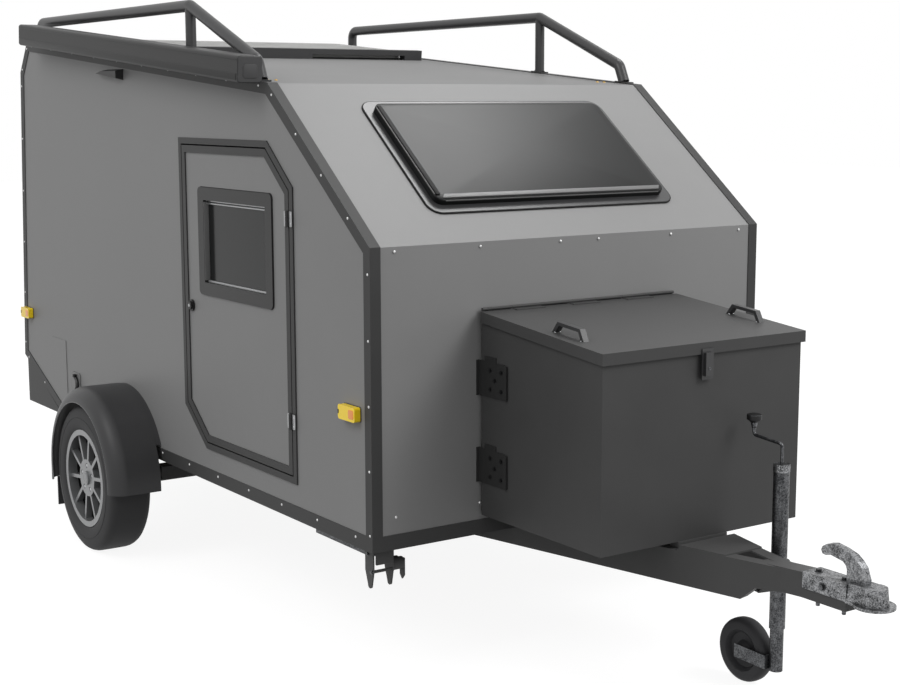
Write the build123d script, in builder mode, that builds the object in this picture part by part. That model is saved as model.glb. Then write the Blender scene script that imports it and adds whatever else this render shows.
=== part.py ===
from build123d import *
import math
import os

os.makedirs("parts", exist_ok=True)

# A mini caravan, in millimetres: +X forward to the coupling, +Z up, door side at -Y.
# The origin lies on the ground under the middle of the whole length.

# Body profile, seen from the door side
BODY_LENGTH = 3064.0
NOSE_REACH = 1325.0
BODY_WIDTH = 1600.0
FLOOR_Z = 400.0
FRONT_TOP_Z = 1338.0
SLOPE_RUN = 629.0
SLOPE_TOP_Z = 1830.0
ROOF_RUN = 2241.0
ROOF_PITCH = 5.05
REAR_CHAMFER_RUN = 97.0
REAR_CHAMFER_DROP = 129.0
REAR_FOOT_Z = 620.0
DEPARTURE_RUN = 484.0

# Sandwich panels and edge trims
WALL = 28.0
FLOOR_THICK = 36.0
TRIM_THICK = 3.0
TRIM_LEG = 38.0
SILL_BAND = 48.0

# Door, its sizes along X counted back from the front wall
DOOR_FRONT = 470.0
DOOR_REAR = 1322.0
DOOR_BOTTOM = 522.0
DOOR_TOP = 1642.0
DOOR_TOP_CUT = (172.0, 145.0)
DOOR_FOOT_CUT = (174.0, 140.0)
FRAME_BAND = 22.0
FRAME_LINER = 8.0
DOOR_GAP = 5.0
DOOR_EDGE_BAND = 25.0
DOOR_PROUD = 5.0
HINGE_RADIUS = 6.5
HINGE_HEIGHT = 52.0
HINGE_LEAF = 20.0
HINGE_LEAF_THICK = 3.0
HINGE_HEIGHTS = (1395.0, 731.0)
KNUCKLE_GAP = 1.0
HINGE_PIN_RADIUS = 3.0
HINGE_PIN_CLEARANCE = 0.1
LOCK_BACK = 1245.0
LOCK_Z = 1037.0
LOCK_RADIUS = 21.0
LOCK_PROUD = 14.0

# Side windows: one in the door, one like it in the left wall
WINDOW_WIDTH = 557.0
WINDOW_HEIGHT = 383.0
WINDOW_BAND = 45.0
WINDOW_LINER = 10.0
WINDOW_CORNER = 18.0
WINDOW_BACK = 891.5
WINDOW_Z = 1278.5
WINDOW_PROUD = 6.0
PANE_DEPTH = 20.0
PANE_THICK = 5.0

# Front window on the slope
FRONT_WINDOW_WIDTH = 1010.0
FRONT_WINDOW_HEIGHT = 556.0
FRONT_WINDOW_CORNER = 45.0
FRONT_WINDOW_UP = 413.0
FRONT_FRAME_PROUD = 6.0
FRONT_OPENING_WIDTH = 920.0
FRONT_OPENING_HEIGHT = 450.0
FRONT_PANE_WIDTH = 950.0
FRONT_PANE_HEIGHT = 490.0
FRONT_PANE_CORNER = 30.0
FRONT_PANE_THICK = 22.0

# Roof: awning cassette, rails and hatch
AWNING_DEPTH = 90.0
AWNING_HEIGHT = 87.0
AWNING_LENGTH = 2045.0
AWNING_START = 640.0
AWNING_OFF_WALL = 13.0
AWNING_CORNER = 12.0
BRACKET_LENGTH = 60.0
BRACKET_HEIGHT = 60.0
BRACKET_THICK = 3.0
BRACKET_FOOT = 45.0
BRACKET_SHARES = (0.15, 0.52, 0.88)
RAIL_RADIUS = 21.0
RAIL_OFF_CENTRE = 779.0
RAIL_TOP_Z = 2105.0
RAIL_REAR_BACK = 2735.0
RAIL_POST_BACK = 1238.0
RAIL_KNEE_BACK = 735.0
RAIL_KNEE_HEIGHT = 60.0
RAIL_FOOT_BACK = 705.0
RAIL_BEND = 36.0
RAIL_FOOT_THICK = 5.0
RAIL_FOOT_LENGTH = 70.0
RAIL_FOOT_WIDTH = 36.0
HATCH_LENGTH = 570.0
HATCH_WIDTH = 1240.0
HATCH_HEIGHT = 38.0
HATCH_BACK = 2040.0
HATCH_CORNER = 30.0
BAR_DEPTH = 40.0
BAR_THICK = 23.0
BAR_TOP = 43.0
BAR_LENGTH = 1400.0
BAR_FOOT_WIDTH = 90.0
BAR_BLOCK_WIDTH = 288.0

# Running gear
TYRE_RADIUS = 292.8
TYRE_WIDTH = 175.0
TYRE_FACE = 1000.0
TYRE_BULGE_DROP = 54.0
TYRE_SHOULDER = ((5.0, 24.0), (14.0, 8.5), (33.0, 0.0))
AXLE_BACK = 1877.0
RIM_LIP_RADIUS = 194.0
RIM_BARREL_RADIUS = 182.0
RIM_WALL = 10.0
RIM_HALF_WIDTH = 80.0
RIM_LIP_THICK = 5.0
BEAD_GAP = 0.3
SPOKE_COUNT = 10
SPOKE_START = 7.0
SPOKE_WIDTH = 14.0
SPOKE_DEPTH = 24.0
SPOKE_SINK = 12.0
HUB_RADIUS = 74.0
HUB_DEPTH = 30.0
BOLT_COUNT = 5
BOLT_CIRCLE = 50.0
BOLT_HOLE = 9.5
BOLT_HOLE_DEPTH = 12.0
HUB_CAP_RADIUS = 28.0
HUB_CAP_PROUD = 8.0
STUB_RADIUS = 20.0
STUB_CLEARANCE = 0.05
STUB_LENGTH = 42.0
AXLE_SQUARE = 60.0
AXLE_AHEAD = 150.0
ARM_WIDTH = 30.0
ARM_HEIGHT = 56.0
ARM_PLANE = 740.0

# Mudguards
GUARD_CENTRE_Z = 302.0
GUARD_RADIUS = 354.0
GUARD_WALL_GAP = 23.0
GUARD_WIDTH = 195.0
GUARD_LIP_RADIUS = 296.0
GUARD_SHOULDER = 70.0
GUARD_THICK = 4.0
GUARD_FRONT_DROP = 14.0
GUARD_REAR_DROP = 70.0
FLAP_DROP = 120.0
FLAP_THICK = 6.0
FLAP_LAP = 30.0
FLAP_GAP = 2.0
FLAP_SHARE = 0.74
FLAP_MIDDLE = 0.42
GUARD_FLANGE_START = 27.0
GUARD_FLANGE_ARC = 126.0
GUARD_FLANGE_LAP = 10.0
GUARD_SEAM_LAP = 1.5

# Chassis and drawbar
RAIL_Z = 342.0
DRAWBAR_TOP_Z = 445.0
ARM_THICK = 5.0
ARM_FLANGE = 42.0
ARM_HALF_AT_WALL = 259.0
ARM_TAPER = 0.237
ARM_END_AHEAD = 962.0
ARM_END_Z = (391.0, 461.0)
ARM_FOOT_AHEAD = 828.5
ARM_KNEE_AHEAD = 875.0
ARM_KNEE_Z = 384.0
ARM_STEP_AHEAD = 612.0
ARM_REAR_BACK = 1000.0
ARM_RISE = 100.0
TUBE_HALF_WIDTH = 32.5
TUBE_BOTTOM_Z = 397.0
TUBE_TOP_Z = 470.0
TUBE_REAR_AHEAD = 863.0
TUBE_REAR_Z = (386.0, 458.0)
TUBE_LEVEL_AHEAD = 1036.0
TUBE_END_AHEAD = 1196.0
COVER_REAR_AHEAD = 622.0
COVER_FRONT_AHEAD = 775.0
COVER_BOTTOM_Z = 457.0
COVER_TOP_Z = 463.0
LONG_REAR_BACK = 2540.0
CROSS_WIDTH = 50.0
CROSS_HALF = 675.0
CROSS_BACKS = (225.0, 1400.0, 2500.0)
SILL_CLEARANCE = 0.3

# Coupling
HEAD_START_AHEAD = 1041.0
HEAD_WALL = 4.0
HEAD_TOP_Z = 480.0
HEAD_BAND_Z = 427.0
BALL_AHEAD = 1268.0
BALL_Z = 448.0
BALL_RADIUS = 25.2
DOME_RADIUS = 40.0
LIP_HEIGHT = 8.0
HEAD_BOTTOM_Z = 424.0
LEVER_WIDTH = 26.0

# Storage box on the drawbar
BOX_HALF_WIDTH = 398.5
BOX_BACK_AHEAD = 10.0
BOX_FRONT_AHEAD = 601.0
BOX_BOTTOM_Z = 465.5
BOX_WALL = 4.0
LID_HALF_WIDTH = 408.0
LID_FRONT_AHEAD = 611.5
LID_BACK_Z = 1120.5
LID_FRONT_Z = 1062.4
LID_SKIRT = 35.0
LID_SHEET = 3.0
LID_RIM_GAP = 1.5
LID_HINGE_RADIUS = 5.0
LID_PIN_RADIUS = 2.5
LID_HINGE_AHEAD = 12.0
LID_KNUCKLES = 7
BEARER_WIDTH = 36.0
PLATE_HEIGHTS = (909.0, 629.0)
PLATE_SIZE = 112.0
PLATE_REACH = 133.0
PLATE_THICK = 3.0
PLATE_FLANGE = 12.0
PLATE_TAB_AHEAD = 60.0
PLATE_TAB_WIDTH = 60.0
PLATE_TAB_HEIGHT = 16.0
BAR_AHEAD = 142.5
BAR_WIDTH = 15.0
BAR_HEIGHT = 108.0
BAR_PROUD = 8.0

# Lid handles and front latch
HANDLE_SIDE = 355.0
HANDLE_UP = -391.0
HANDLE_LENGTH = 150.0
HANDLE_RISE = 34.0
HANDLE_THICK = 10.0
HANDLE_LEAN = 22.0
HANDLE_FOOT = 14.0
LATCH_SIDE = -7.5
LATCH_Z = 997.5
LATCH_WIDTH = 44.0
LATCH_HEIGHT = 93.0
LATCH_THICK = 4.0
LATCH_LEVER = (30.0, 70.0)
LATCH_LEVER_PROUD = 13.5

# Jack with its jockey wheel
JACK_AHEAD = 782.0
JACK_SIDE = 141.0
JACK_RADIUS = 24.0
JACK_TOP_Z = 706.0
JACK_BOTTOM_Z = 203.0
JACK_INNER_RADIUS = 20.5
JACK_CLEARANCE = 0.5
JACK_INNER_TOP_Z = 520.0
SWIVEL_Z = 128.0
SWIVEL_GAP = 0.3
FORK_BOTTOM_Z = 70.0
JOCKEY_RADIUS = 100.0
JOCKEY_WIDTH = 50.0
JOCKEY_TRAIL = 126.0
FORK_PLATE_THICK = 4.0
FORK_PLATE_HEIGHT = 42.0
FORK_GAP = 6.0
FORK_WEB_BACK = 16.0
FORK_WEB_THICK = 6.0
JOCKEY_AXLE_RADIUS = 8.0
CRANK_RADIUS = 5.0
CRANK_TOP_Z = 766.0
CRANK_ARM = 117.0
CRANK_RISE = 9.0
CRANK_BEND = 12.0
KNOB_NECK_Z = 793.0
KNOB_NECK_RADIUS = 6.0
KNOB_NECK_TAPER = 14.0
KNOB_CAP_Z = 823.0
KNOB_TOP_Z = 836.0
KNOB_RADIUS = 22.5
CLAMP_Z = 393.0
CLAMP_HEIGHT = 40.0
CLAMP_HALF = 30.0
CLAMP_RING = 8.0

# Corner steadies
STEADY_BACKS = (80.0, 2440.0)
STEADY_SIDE = 731.0
STEADY_PLATE_GAP = 66.0
STEADY_PLATE_THICK = 5.0
STEADY_PLATE_FRONT = 32.0
STEADY_PLATE_REAR = 16.0
STEADY_DROP = 132.0
STEADY_TIP_RADIUS = 11.0
STEADY_TOP_THICK = 4.0
STEADY_PIVOT_DROP = 22.0
STEADY_PIN_RADIUS = 5.0
STEADY_STOP_DROP = 77.0
STEADY_STOP_FRONT = 24.0
STEADY_BOSS_RADIUS = 20.0
STEADY_BOSS_RISE = 10.0
STEADY_SHOULDER = 45.0
STEADY_PACKING_GAP = 8.0
STEADY_BOSS_LENGTH = 42.0
STEADY_HANDLE_WIDTH = 24.0
STEADY_HANDLE_DROP = 70.0
STEADY_HANDLE_RISE = 26.0
STEADY_HANDLE_POINT = 14.0
STEADY_HANDLE_THICK = 5.0
PIN_CLEARANCE = 0.1
LEG_LENGTH = 345.0
LEG_WIDTH = 54.0
LEG_HEIGHT = 26.0
LEG_WALL = 4.0
FOOT_LENGTH = 60.0

# Lamps, vent, hatches
MARKER_LENGTH = 100.0
MARKER_HEIGHT = 46.0
MARKER_PROUD = 24.0
MARKER_Z = 822.0
MARKER_BACKS = (114.0, 2985.0)
TAIL_WIDTH = 210.0
TAIL_HEIGHT = 100.0
TAIL_THICK = 28.0
TAIL_SIDE = 620.0
TAIL_Z = 505.0
SKIRT_BACK = 3036.0
SKIRT_BOTTOM_Z = 408.0
SKIRT_SHEET = 3.0
PLATE_PAD_WIDTH = 540.0
PLATE_PAD_HEIGHT = 120.0
PLATE_PAD_THICK = 12.0
VENT_FRONT_BACK = 1816.0
VENT_REAR_BACK = 2067.0
VENT_Z = 1852.0
VENT_HEIGHT = 42.0
VENT_PROUD = 30.0
SERVICE_FRONT_BACK = 2540.0
SERVICE_REAR_BACK = 2720.0
SERVICE_TOP_Z = 745.0
SERVICE_BOTTOM_Z = 575.0
SERVICE_THICK = 2.5
INLET_BACK = 2430.0
INLET_Z = 575.0
INLET_SIZE = 94.0
INLET_PLATE = 4.0
INLET_CAP_RADIUS = 28.0
INLET_CAP_PROUD = 18.0

# Mattress on the cabin floor
MATTRESS_LENGTH = 1950.0
MATTRESS_THICK = 120.0
MATTRESS_GAP = 12.0
SEAT_GAP = 0.3

# Values worked out from the sizes above
FRONT = (BODY_LENGTH - NOSE_REACH) / 2
HALF = BODY_WIDTH / 2
SKIN = HALF - TRIM_THICK
CABIN = SKIN - WALL
ROOF_SLOPE = math.tan(math.radians(ROOF_PITCH))
WHEEL_Y = TYRE_FACE - TYRE_WIDTH / 2


def back(distance):
    """X of a place that lies this far behind the front wall."""
    return FRONT - distance


def ahead(distance):
    """X of a place that lies this far ahead of the front wall."""
    return FRONT + distance


def inset(points, gaps):
    """Moves each edge of a closed outline inwards by its own gap and returns the new corners."""
    centre_x = sum(p[0] for p in points) / len(points)
    centre_z = sum(p[1] for p in points) / len(points)
    lines = []
    for (x0, z0), (x1, z1), gap in zip(points, points[1:] + points[:1], gaps):
        length = math.hypot(x1 - x0, z1 - z0)
        nx, nz = -(z1 - z0) / length, (x1 - x0) / length
        if (centre_x - x0) * nx + (centre_z - z0) * nz < 0:
            nx, nz = -nx, -nz
        lines.append((nx, nz, nx * x0 + nz * z0 + gap))
    corners = []
    for (a0, b0, c0), (a1, b1, c1) in zip(lines[-1:] + lines[:-1], lines):
        det = a0 * b1 - a1 * b0
        corners.append(((c0 * b1 - c1 * b0) / det, (a0 * c1 - a1 * c0) / det))
    return corners


def side_plane(y):
    """A drawing plane at this Y with X forward and Z up, which extrudes towards -Y."""
    return Plane(origin=(0, y, 0), x_dir=(1, 0, 0), z_dir=(0, -1, 0))


def write(part, name):
    """Labels a finished piece and writes it to its own file."""
    part.label = name
    export_step(part, f"parts/{name}.step")


def write_pair(part, name):
    """Writes a door-side piece together with its mirror image on the other side."""
    with BuildPart() as pair:
        add(part)
        mirror(part, about=Plane.XZ)
    write(pair.part, name)


def write_mirrored(part, name):
    """Writes the mirror image of a door-side piece."""
    with BuildPart() as twin:
        mirror(part, about=Plane.XZ)
    write(twin.part, name)


# Body outline, from the foot of the front wall over the roof to the floor's rear edge
roof_rear_z = SLOPE_TOP_Z + ROOF_RUN * ROOF_SLOPE
roof_rear_x = back(SLOPE_RUN + ROOF_RUN)
PROFILE = [
    (FRONT, FLOOR_Z),
    (FRONT, FRONT_TOP_Z),
    (back(SLOPE_RUN), SLOPE_TOP_Z),
    (roof_rear_x, roof_rear_z),
    (roof_rear_x - REAR_CHAMFER_RUN, roof_rear_z - REAR_CHAMFER_DROP),
    (back(BODY_LENGTH), REAR_FOOT_Z),
    (back(BODY_LENGTH - DEPARTURE_RUN), FLOOR_Z),
]
edge_count = len(PROFILE)
SKIN_OUTLINE = inset(PROFILE, [TRIM_THICK] * edge_count)
CABIN_GAPS = [TRIM_THICK + WALL] * (edge_count - 1) + [TRIM_THICK + FLOOR_THICK]
CABIN_OUTLINE = inset(PROFILE, CABIN_GAPS)
floor_under_z = FLOOR_Z + TRIM_THICK
cabin_floor_z = floor_under_z + FLOOR_THICK


def roof_z(distance):
    """Height of the roof skin at a distance behind the front wall."""
    drop = TRIM_THICK / math.cos(math.radians(ROOF_PITCH))
    return SLOPE_TOP_Z + (distance - SLOPE_RUN) * ROOF_SLOPE - drop


# Door and window outlines on the side walls
DOOR_OUTLINE = [
    (back(DOOR_REAR), DOOR_TOP),
    (back(DOOR_FRONT + DOOR_TOP_CUT[0]), DOOR_TOP),
    (back(DOOR_FRONT), DOOR_TOP - DOOR_TOP_CUT[1]),
    (back(DOOR_FRONT), DOOR_BOTTOM),
    (back(DOOR_REAR - DOOR_FOOT_CUT[0]), DOOR_BOTTOM),
    (back(DOOR_REAR), DOOR_BOTTOM + DOOR_FOOT_CUT[1]),
]


def door_outline(gap):
    """The door frame's outer outline, moved inwards by a gap."""
    return inset(DOOR_OUTLINE, [gap] * len(DOOR_OUTLINE))


leaf_gap = FRAME_BAND + DOOR_GAP
window_hole = (
    WINDOW_WIDTH - 2 * WINDOW_BAND + 2 * WINDOW_LINER,
    WINDOW_HEIGHT - 2 * WINDOW_BAND + 2 * WINDOW_LINER,
)
window_clear = (WINDOW_WIDTH - 2 * WINDOW_BAND, WINDOW_HEIGHT - 2 * WINDOW_BAND)
window_spot = (back(WINDOW_BACK), WINDOW_Z)

# Right side wall, with the doorway
with BuildPart() as side_wall_right:
    with BuildSketch(side_plane(-CABIN)):
        with BuildLine():
            Polyline(*SKIN_OUTLINE, close=True)
        make_face()
        with BuildLine():
            Polyline(*door_outline(FRAME_BAND - FRAME_LINER), close=True)
        make_face(mode=Mode.SUBTRACT)
    extrude(amount=WALL)
write(side_wall_right.part, "side_wall_right")

# Left side wall, with its window opening
with BuildPart() as side_wall_left:
    with BuildSketch(side_plane(SKIN)):
        with BuildLine():
            Polyline(*SKIN_OUTLINE, close=True)
        make_face()
        with Locations(window_spot):
            Rectangle(*window_hole, mode=Mode.SUBTRACT)
    extrude(amount=WALL)
write(side_wall_left.part, "side_wall_left")


def panel_quad(edge):
    """Corners of the panel that follows one edge of the body outline, mitred at both ends."""
    after = (edge + 1) % edge_count
    return [SKIN_OUTLINE[edge], SKIN_OUTLINE[after], CABIN_OUTLINE[after], CABIN_OUTLINE[edge]]


# Plane of the sloping front, its Y running up the slope from the fold
slope_angle = math.atan2(SLOPE_TOP_Z - FRONT_TOP_Z, SLOPE_RUN)
slope_foot = SKIN_OUTLINE[1]
SLOPE_PLANE = Plane(
    origin=(slope_foot[0], 0, slope_foot[1]),
    x_dir=(0, 1, 0),
    z_dir=(math.sin(slope_angle), 0, math.cos(slope_angle)),
)
ROOF_PLANE = Plane(
    origin=(SKIN_OUTLINE[2][0], 0, SKIN_OUTLINE[2][1]),
    x_dir=(0, 1, 0),
    z_dir=(math.sin(math.radians(ROOF_PITCH)), 0, math.cos(math.radians(ROOF_PITCH))),
)

# Panels between the side walls: name and the outline edges that each follows
PANELS = [
    ("front_wall", (0,)),
    ("slope_wall", (1,)),
    ("roof_panel", (2,)),
    ("rear_top_panel", (3,)),
    ("rear_wall", (4,)),
    ("floor_panel", (5, 6)),
]
for panel_name, panel_edges in PANELS:
    with BuildPart() as panel:
        for panel_edge in panel_edges:
            with BuildSketch(side_plane(CABIN)):
                with BuildLine():
                    Polyline(*panel_quad(panel_edge), close=True)
                make_face()
            extrude(amount=2 * CABIN)
        if panel_name == "slope_wall":
            with BuildSketch(SLOPE_PLANE.offset(1)):
                with Locations((0, FRONT_WINDOW_UP)):
                    Rectangle(FRONT_OPENING_WIDTH, FRONT_OPENING_HEIGHT)
            extrude(amount=-(WALL + 2), mode=Mode.SUBTRACT)
    write(panel.part, panel_name)

# Edge trims: an angle that follows the whole outline on each side
with BuildPart() as edge_trim:
    with BuildSketch(side_plane(-SKIN)):
        with BuildLine():
            Polyline(*PROFILE, close=True)
        make_face()
        with BuildLine():
            Polyline(*inset(PROFILE, [TRIM_LEG] * (edge_count - 1) + [SILL_BAND]), close=True)
        make_face(mode=Mode.SUBTRACT)
    extrude(amount=TRIM_THICK)
    with BuildSketch(side_plane(-(HALF - TRIM_LEG))):
        with BuildLine():
            Polyline(*PROFILE, close=True)
        make_face()
        with BuildLine():
            Polyline(*SKIN_OUTLINE, close=True)
        make_face(mode=Mode.SUBTRACT)
    extrude(amount=TRIM_LEG - TRIM_THICK)
write_pair(edge_trim.part, "edge_trims")

# Band along the foot of the front wall
with BuildPart() as front_sill:
    with BuildSketch(side_plane(HALF - TRIM_LEG)):
        with BuildLine():
            Polyline(
                (FRONT, FLOOR_Z),
                (FRONT, FLOOR_Z + SILL_BAND),
                (FRONT - TRIM_THICK, FLOOR_Z + SILL_BAND),
                (FRONT - TRIM_THICK, FLOOR_Z + TRIM_THICK),
                (FRONT - TRIM_LEG, FLOOR_Z + TRIM_THICK),
                (FRONT - TRIM_LEG, FLOOR_Z),
                close=True,
            )
        make_face()
    extrude(amount=2 * (HALF - TRIM_LEG))
write(front_sill.part, "front_sill")

# Door frame: flange on the wall and liner through it, with the fixed hinge leaves
hinge_x = back(DOOR_FRONT + FRAME_BAND + DOOR_GAP / 2)
hinge_y = -(SKIN + DOOR_PROUD + HINGE_RADIUS)
knuckle = (HINGE_HEIGHT - 2 * KNUCKLE_GAP) / 3
knuckle_step = knuckle + KNUCKLE_GAP


def hinge_leaf(height, towards, tongues):
    """One leaf of a door hinge on the side given by towards, with its knuckles."""
    root = 8.0
    leaf_y = -(SKIN + DOOR_PROUD + HINGE_LEAF_THICK / 2)
    with BuildPart() as leaf:
        with BuildSketch(Plane.XY.offset(height - HINGE_HEIGHT / 2)):
            with Locations((hinge_x + towards * (root + HINGE_LEAF) / 2, leaf_y)):
                Rectangle(HINGE_LEAF - root, HINGE_LEAF_THICK)
        extrude(amount=HINGE_HEIGHT)
        for tongue in tongues:
            with BuildSketch(Plane.XY.offset(height + tongue * knuckle_step - knuckle / 2)):
                with Locations((hinge_x, hinge_y)):
                    Circle(HINGE_RADIUS)
                with Locations((hinge_x + towards * root / 2, leaf_y)):
                    Rectangle(root, HINGE_LEAF_THICK)
            extrude(amount=knuckle)
        with BuildSketch(Plane.XY.offset(height - HINGE_HEIGHT / 2)):
            with Locations((hinge_x, hinge_y)):
                if len(tongues) > 1:
                    Circle(HINGE_PIN_RADIUS)
                else:
                    Circle(HINGE_PIN_RADIUS + HINGE_PIN_CLEARANCE)
        extrude(amount=HINGE_HEIGHT, mode=Mode.ADD if len(tongues) > 1 else Mode.SUBTRACT)
    return leaf.part


with BuildPart() as door_frame:
    with BuildSketch(side_plane(-SKIN)):
        with BuildLine():
            Polyline(*DOOR_OUTLINE, close=True)
        make_face()
        with BuildLine():
            Polyline(*door_outline(FRAME_BAND), close=True)
        make_face(mode=Mode.SUBTRACT)
    extrude(amount=DOOR_PROUD)
    with BuildSketch(side_plane(-CABIN)):
        with BuildLine():
            Polyline(*door_outline(FRAME_BAND - FRAME_LINER), close=True)
        make_face()
        with BuildLine():
            Polyline(*door_outline(FRAME_BAND), close=True)
        make_face(mode=Mode.SUBTRACT)
    extrude(amount=WALL)
    for hinge_height in HINGE_HEIGHTS:
        add(hinge_leaf(hinge_height, 1, (-1, 1)))
write(door_frame.part, "door_frame")

# Door leaf with its window opening
with BuildPart() as door_panel:
    with BuildSketch(side_plane(-CABIN)):
        with BuildLine():
            Polyline(*door_outline(leaf_gap), close=True)
        make_face()
        with Locations(window_spot):
            Rectangle(*window_hole, mode=Mode.SUBTRACT)
    extrude(amount=WALL)
write(door_panel.part, "door_panel")

# Door edge band with the moving hinge leaves
with BuildPart() as door_edge:
    with BuildSketch(side_plane(-SKIN)):
        with BuildLine():
            Polyline(*door_outline(leaf_gap), close=True)
        make_face()
        with BuildLine():
            Polyline(*door_outline(leaf_gap + DOOR_EDGE_BAND), close=True)
        make_face(mode=Mode.SUBTRACT)
    extrude(amount=DOOR_PROUD)
    for hinge_height in HINGE_HEIGHTS:
        add(hinge_leaf(hinge_height, -1, (0,)))
write(door_edge.part, "door_edge")

# Door lock: rose, barrel and pull
with BuildPart() as door_lock:
    with BuildSketch(side_plane(-SKIN)):
        with Locations((back(LOCK_BACK), LOCK_Z)):
            Circle(LOCK_RADIUS)
    extrude(amount=LOCK_PROUD / 2)
    with BuildSketch(side_plane(-(SKIN + LOCK_PROUD / 2))):
        with Locations((back(LOCK_BACK), LOCK_Z)):
            Circle(LOCK_RADIUS * 0.7)
    extrude(amount=LOCK_PROUD / 2)
write(door_lock.part, "door_lock")

# Side window frame and pane, drawn on the door side and mirrored for the left wall
with BuildPart() as window_frame:
    with BuildSketch(side_plane(-SKIN)):
        with Locations(window_spot):
            RectangleRounded(WINDOW_WIDTH, WINDOW_HEIGHT, WINDOW_CORNER)
            Rectangle(*window_clear, mode=Mode.SUBTRACT)
    extrude(amount=WINDOW_PROUD)
    with BuildSketch(side_plane(-CABIN)):
        with Locations(window_spot):
            Rectangle(*window_hole)
            Rectangle(*window_clear, mode=Mode.SUBTRACT)
    extrude(amount=WALL)
write(window_frame.part, "door_window_frame")
write_mirrored(window_frame.part, "left_window_frame")
with BuildPart() as window_pane:
    with BuildSketch(side_plane(-(SKIN - PANE_DEPTH))):
        with Locations(window_spot):
            Rectangle(*window_clear)
    extrude(amount=PANE_THICK)
write(window_pane.part, "door_window_pane")
write_mirrored(window_pane.part, "left_window_pane")

# Front window: flat frame with its liner, and the raised pane on it
with BuildPart() as front_window_frame:
    with BuildSketch(SLOPE_PLANE):
        with Locations((0, FRONT_WINDOW_UP)):
            RectangleRounded(FRONT_WINDOW_WIDTH, FRONT_WINDOW_HEIGHT, FRONT_WINDOW_CORNER)
            Rectangle(FRONT_OPENING_WIDTH - 2 * WINDOW_LINER,
                      FRONT_OPENING_HEIGHT - 2 * WINDOW_LINER, mode=Mode.SUBTRACT)
    extrude(amount=FRONT_FRAME_PROUD)
    with BuildSketch(SLOPE_PLANE):
        with Locations((0, FRONT_WINDOW_UP)):
            Rectangle(FRONT_OPENING_WIDTH, FRONT_OPENING_HEIGHT)
            Rectangle(FRONT_OPENING_WIDTH - 2 * WINDOW_LINER,
                      FRONT_OPENING_HEIGHT - 2 * WINDOW_LINER, mode=Mode.SUBTRACT)
    extrude(amount=-WALL)
write(front_window_frame.part, "front_window_frame")
with BuildPart() as front_window_pane:
    with BuildSketch(SLOPE_PLANE.offset(FRONT_FRAME_PROUD)):
        with Locations((0, FRONT_WINDOW_UP)):
            RectangleRounded(FRONT_PANE_WIDTH, FRONT_PANE_HEIGHT, FRONT_PANE_CORNER)
    extrude(amount=FRONT_PANE_THICK)
write(front_window_pane.part, "front_window_pane")

# Awning cassette along the right roof edge, with its wall brackets
awning_inner = -(HALF + AWNING_OFF_WALL)
with BuildPart() as awning_cassette:
    awning_foot = roof_z(AWNING_START)
    with BuildSketch(Plane(
        origin=(back(AWNING_START), 0, awning_foot),
        x_dir=(0, 1, 0),
        z_dir=(math.cos(math.radians(ROOF_PITCH)), 0, -math.sin(math.radians(ROOF_PITCH))),
    )):
        with Locations((awning_inner - AWNING_DEPTH / 2, AWNING_HEIGHT / 2)):
            RectangleRounded(AWNING_DEPTH, AWNING_HEIGHT, AWNING_CORNER)
    extrude(amount=-AWNING_LENGTH)
    awning_up = (AWNING_START - SLOPE_RUN) / math.cos(math.radians(ROOF_PITCH))
    for share in BRACKET_SHARES:
        up = awning_up + share * AWNING_LENGTH
        with BuildSketch(ROOF_PLANE.offset(TRIM_THICK)):
            with Locations((awning_inner + BRACKET_FOOT / 2, up)):
                Rectangle(BRACKET_FOOT, BRACKET_LENGTH)
        extrude(amount=BRACKET_THICK)
        with BuildSketch(ROOF_PLANE.offset(TRIM_THICK)):
            with Locations((awning_inner + BRACKET_THICK / 2, up)):
                Rectangle(BRACKET_THICK, BRACKET_LENGTH)
        extrude(amount=BRACKET_HEIGHT)
write(awning_cassette.part, "awning_cassette")

# Roof rails: one bent tube with a post and foot plates on each side
rail_foot_top = TRIM_THICK + RAIL_FOOT_THICK


def rail_ground(distance):
    """Height of the top of a rail's foot plate at a distance behind the front wall."""
    return roof_z(distance) + rail_foot_top / math.cos(math.radians(ROOF_PITCH))


with BuildPart() as roof_rail:
    with BuildLine():
        rail_path = FilletPolyline(
            (back(RAIL_REAR_BACK), -RAIL_OFF_CENTRE, rail_ground(RAIL_REAR_BACK) - 2),
            (back(RAIL_REAR_BACK), -RAIL_OFF_CENTRE, RAIL_TOP_Z),
            (back(RAIL_POST_BACK), -RAIL_OFF_CENTRE, RAIL_TOP_Z),
            (back(RAIL_KNEE_BACK), -RAIL_OFF_CENTRE,
             rail_ground(RAIL_KNEE_BACK) + RAIL_KNEE_HEIGHT),
            (back(RAIL_FOOT_BACK), -RAIL_OFF_CENTRE, rail_ground(RAIL_FOOT_BACK) - 2),
            radius=RAIL_BEND,
        )
    with BuildSketch(Plane(origin=rail_path @ 0, z_dir=rail_path % 0)):
        Circle(RAIL_RADIUS)
    sweep()
    post_foot = rail_ground(RAIL_POST_BACK) - 2
    with BuildSketch(Plane.XY.offset(post_foot)):
        with Locations((back(RAIL_POST_BACK), -RAIL_OFF_CENTRE)):
            Circle(RAIL_RADIUS * 0.9)
    extrude(amount=RAIL_TOP_Z - post_foot - RAIL_RADIUS / 2)
    for foot_back in (RAIL_REAR_BACK, RAIL_POST_BACK, RAIL_FOOT_BACK):
        up = (foot_back - SLOPE_RUN) / math.cos(math.radians(ROOF_PITCH))
        with BuildSketch(ROOF_PLANE.offset(TRIM_THICK)):
            with Locations((-RAIL_OFF_CENTRE, up)):
                Rectangle(RAIL_FOOT_WIDTH, RAIL_FOOT_LENGTH)
        extrude(amount=RAIL_FOOT_THICK)
    split(bisect_by=ROOF_PLANE.offset(TRIM_THICK), keep=Keep.TOP)
write(roof_rail.part, "roof_rail_right")
write_mirrored(roof_rail.part, "roof_rail_left")

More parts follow.
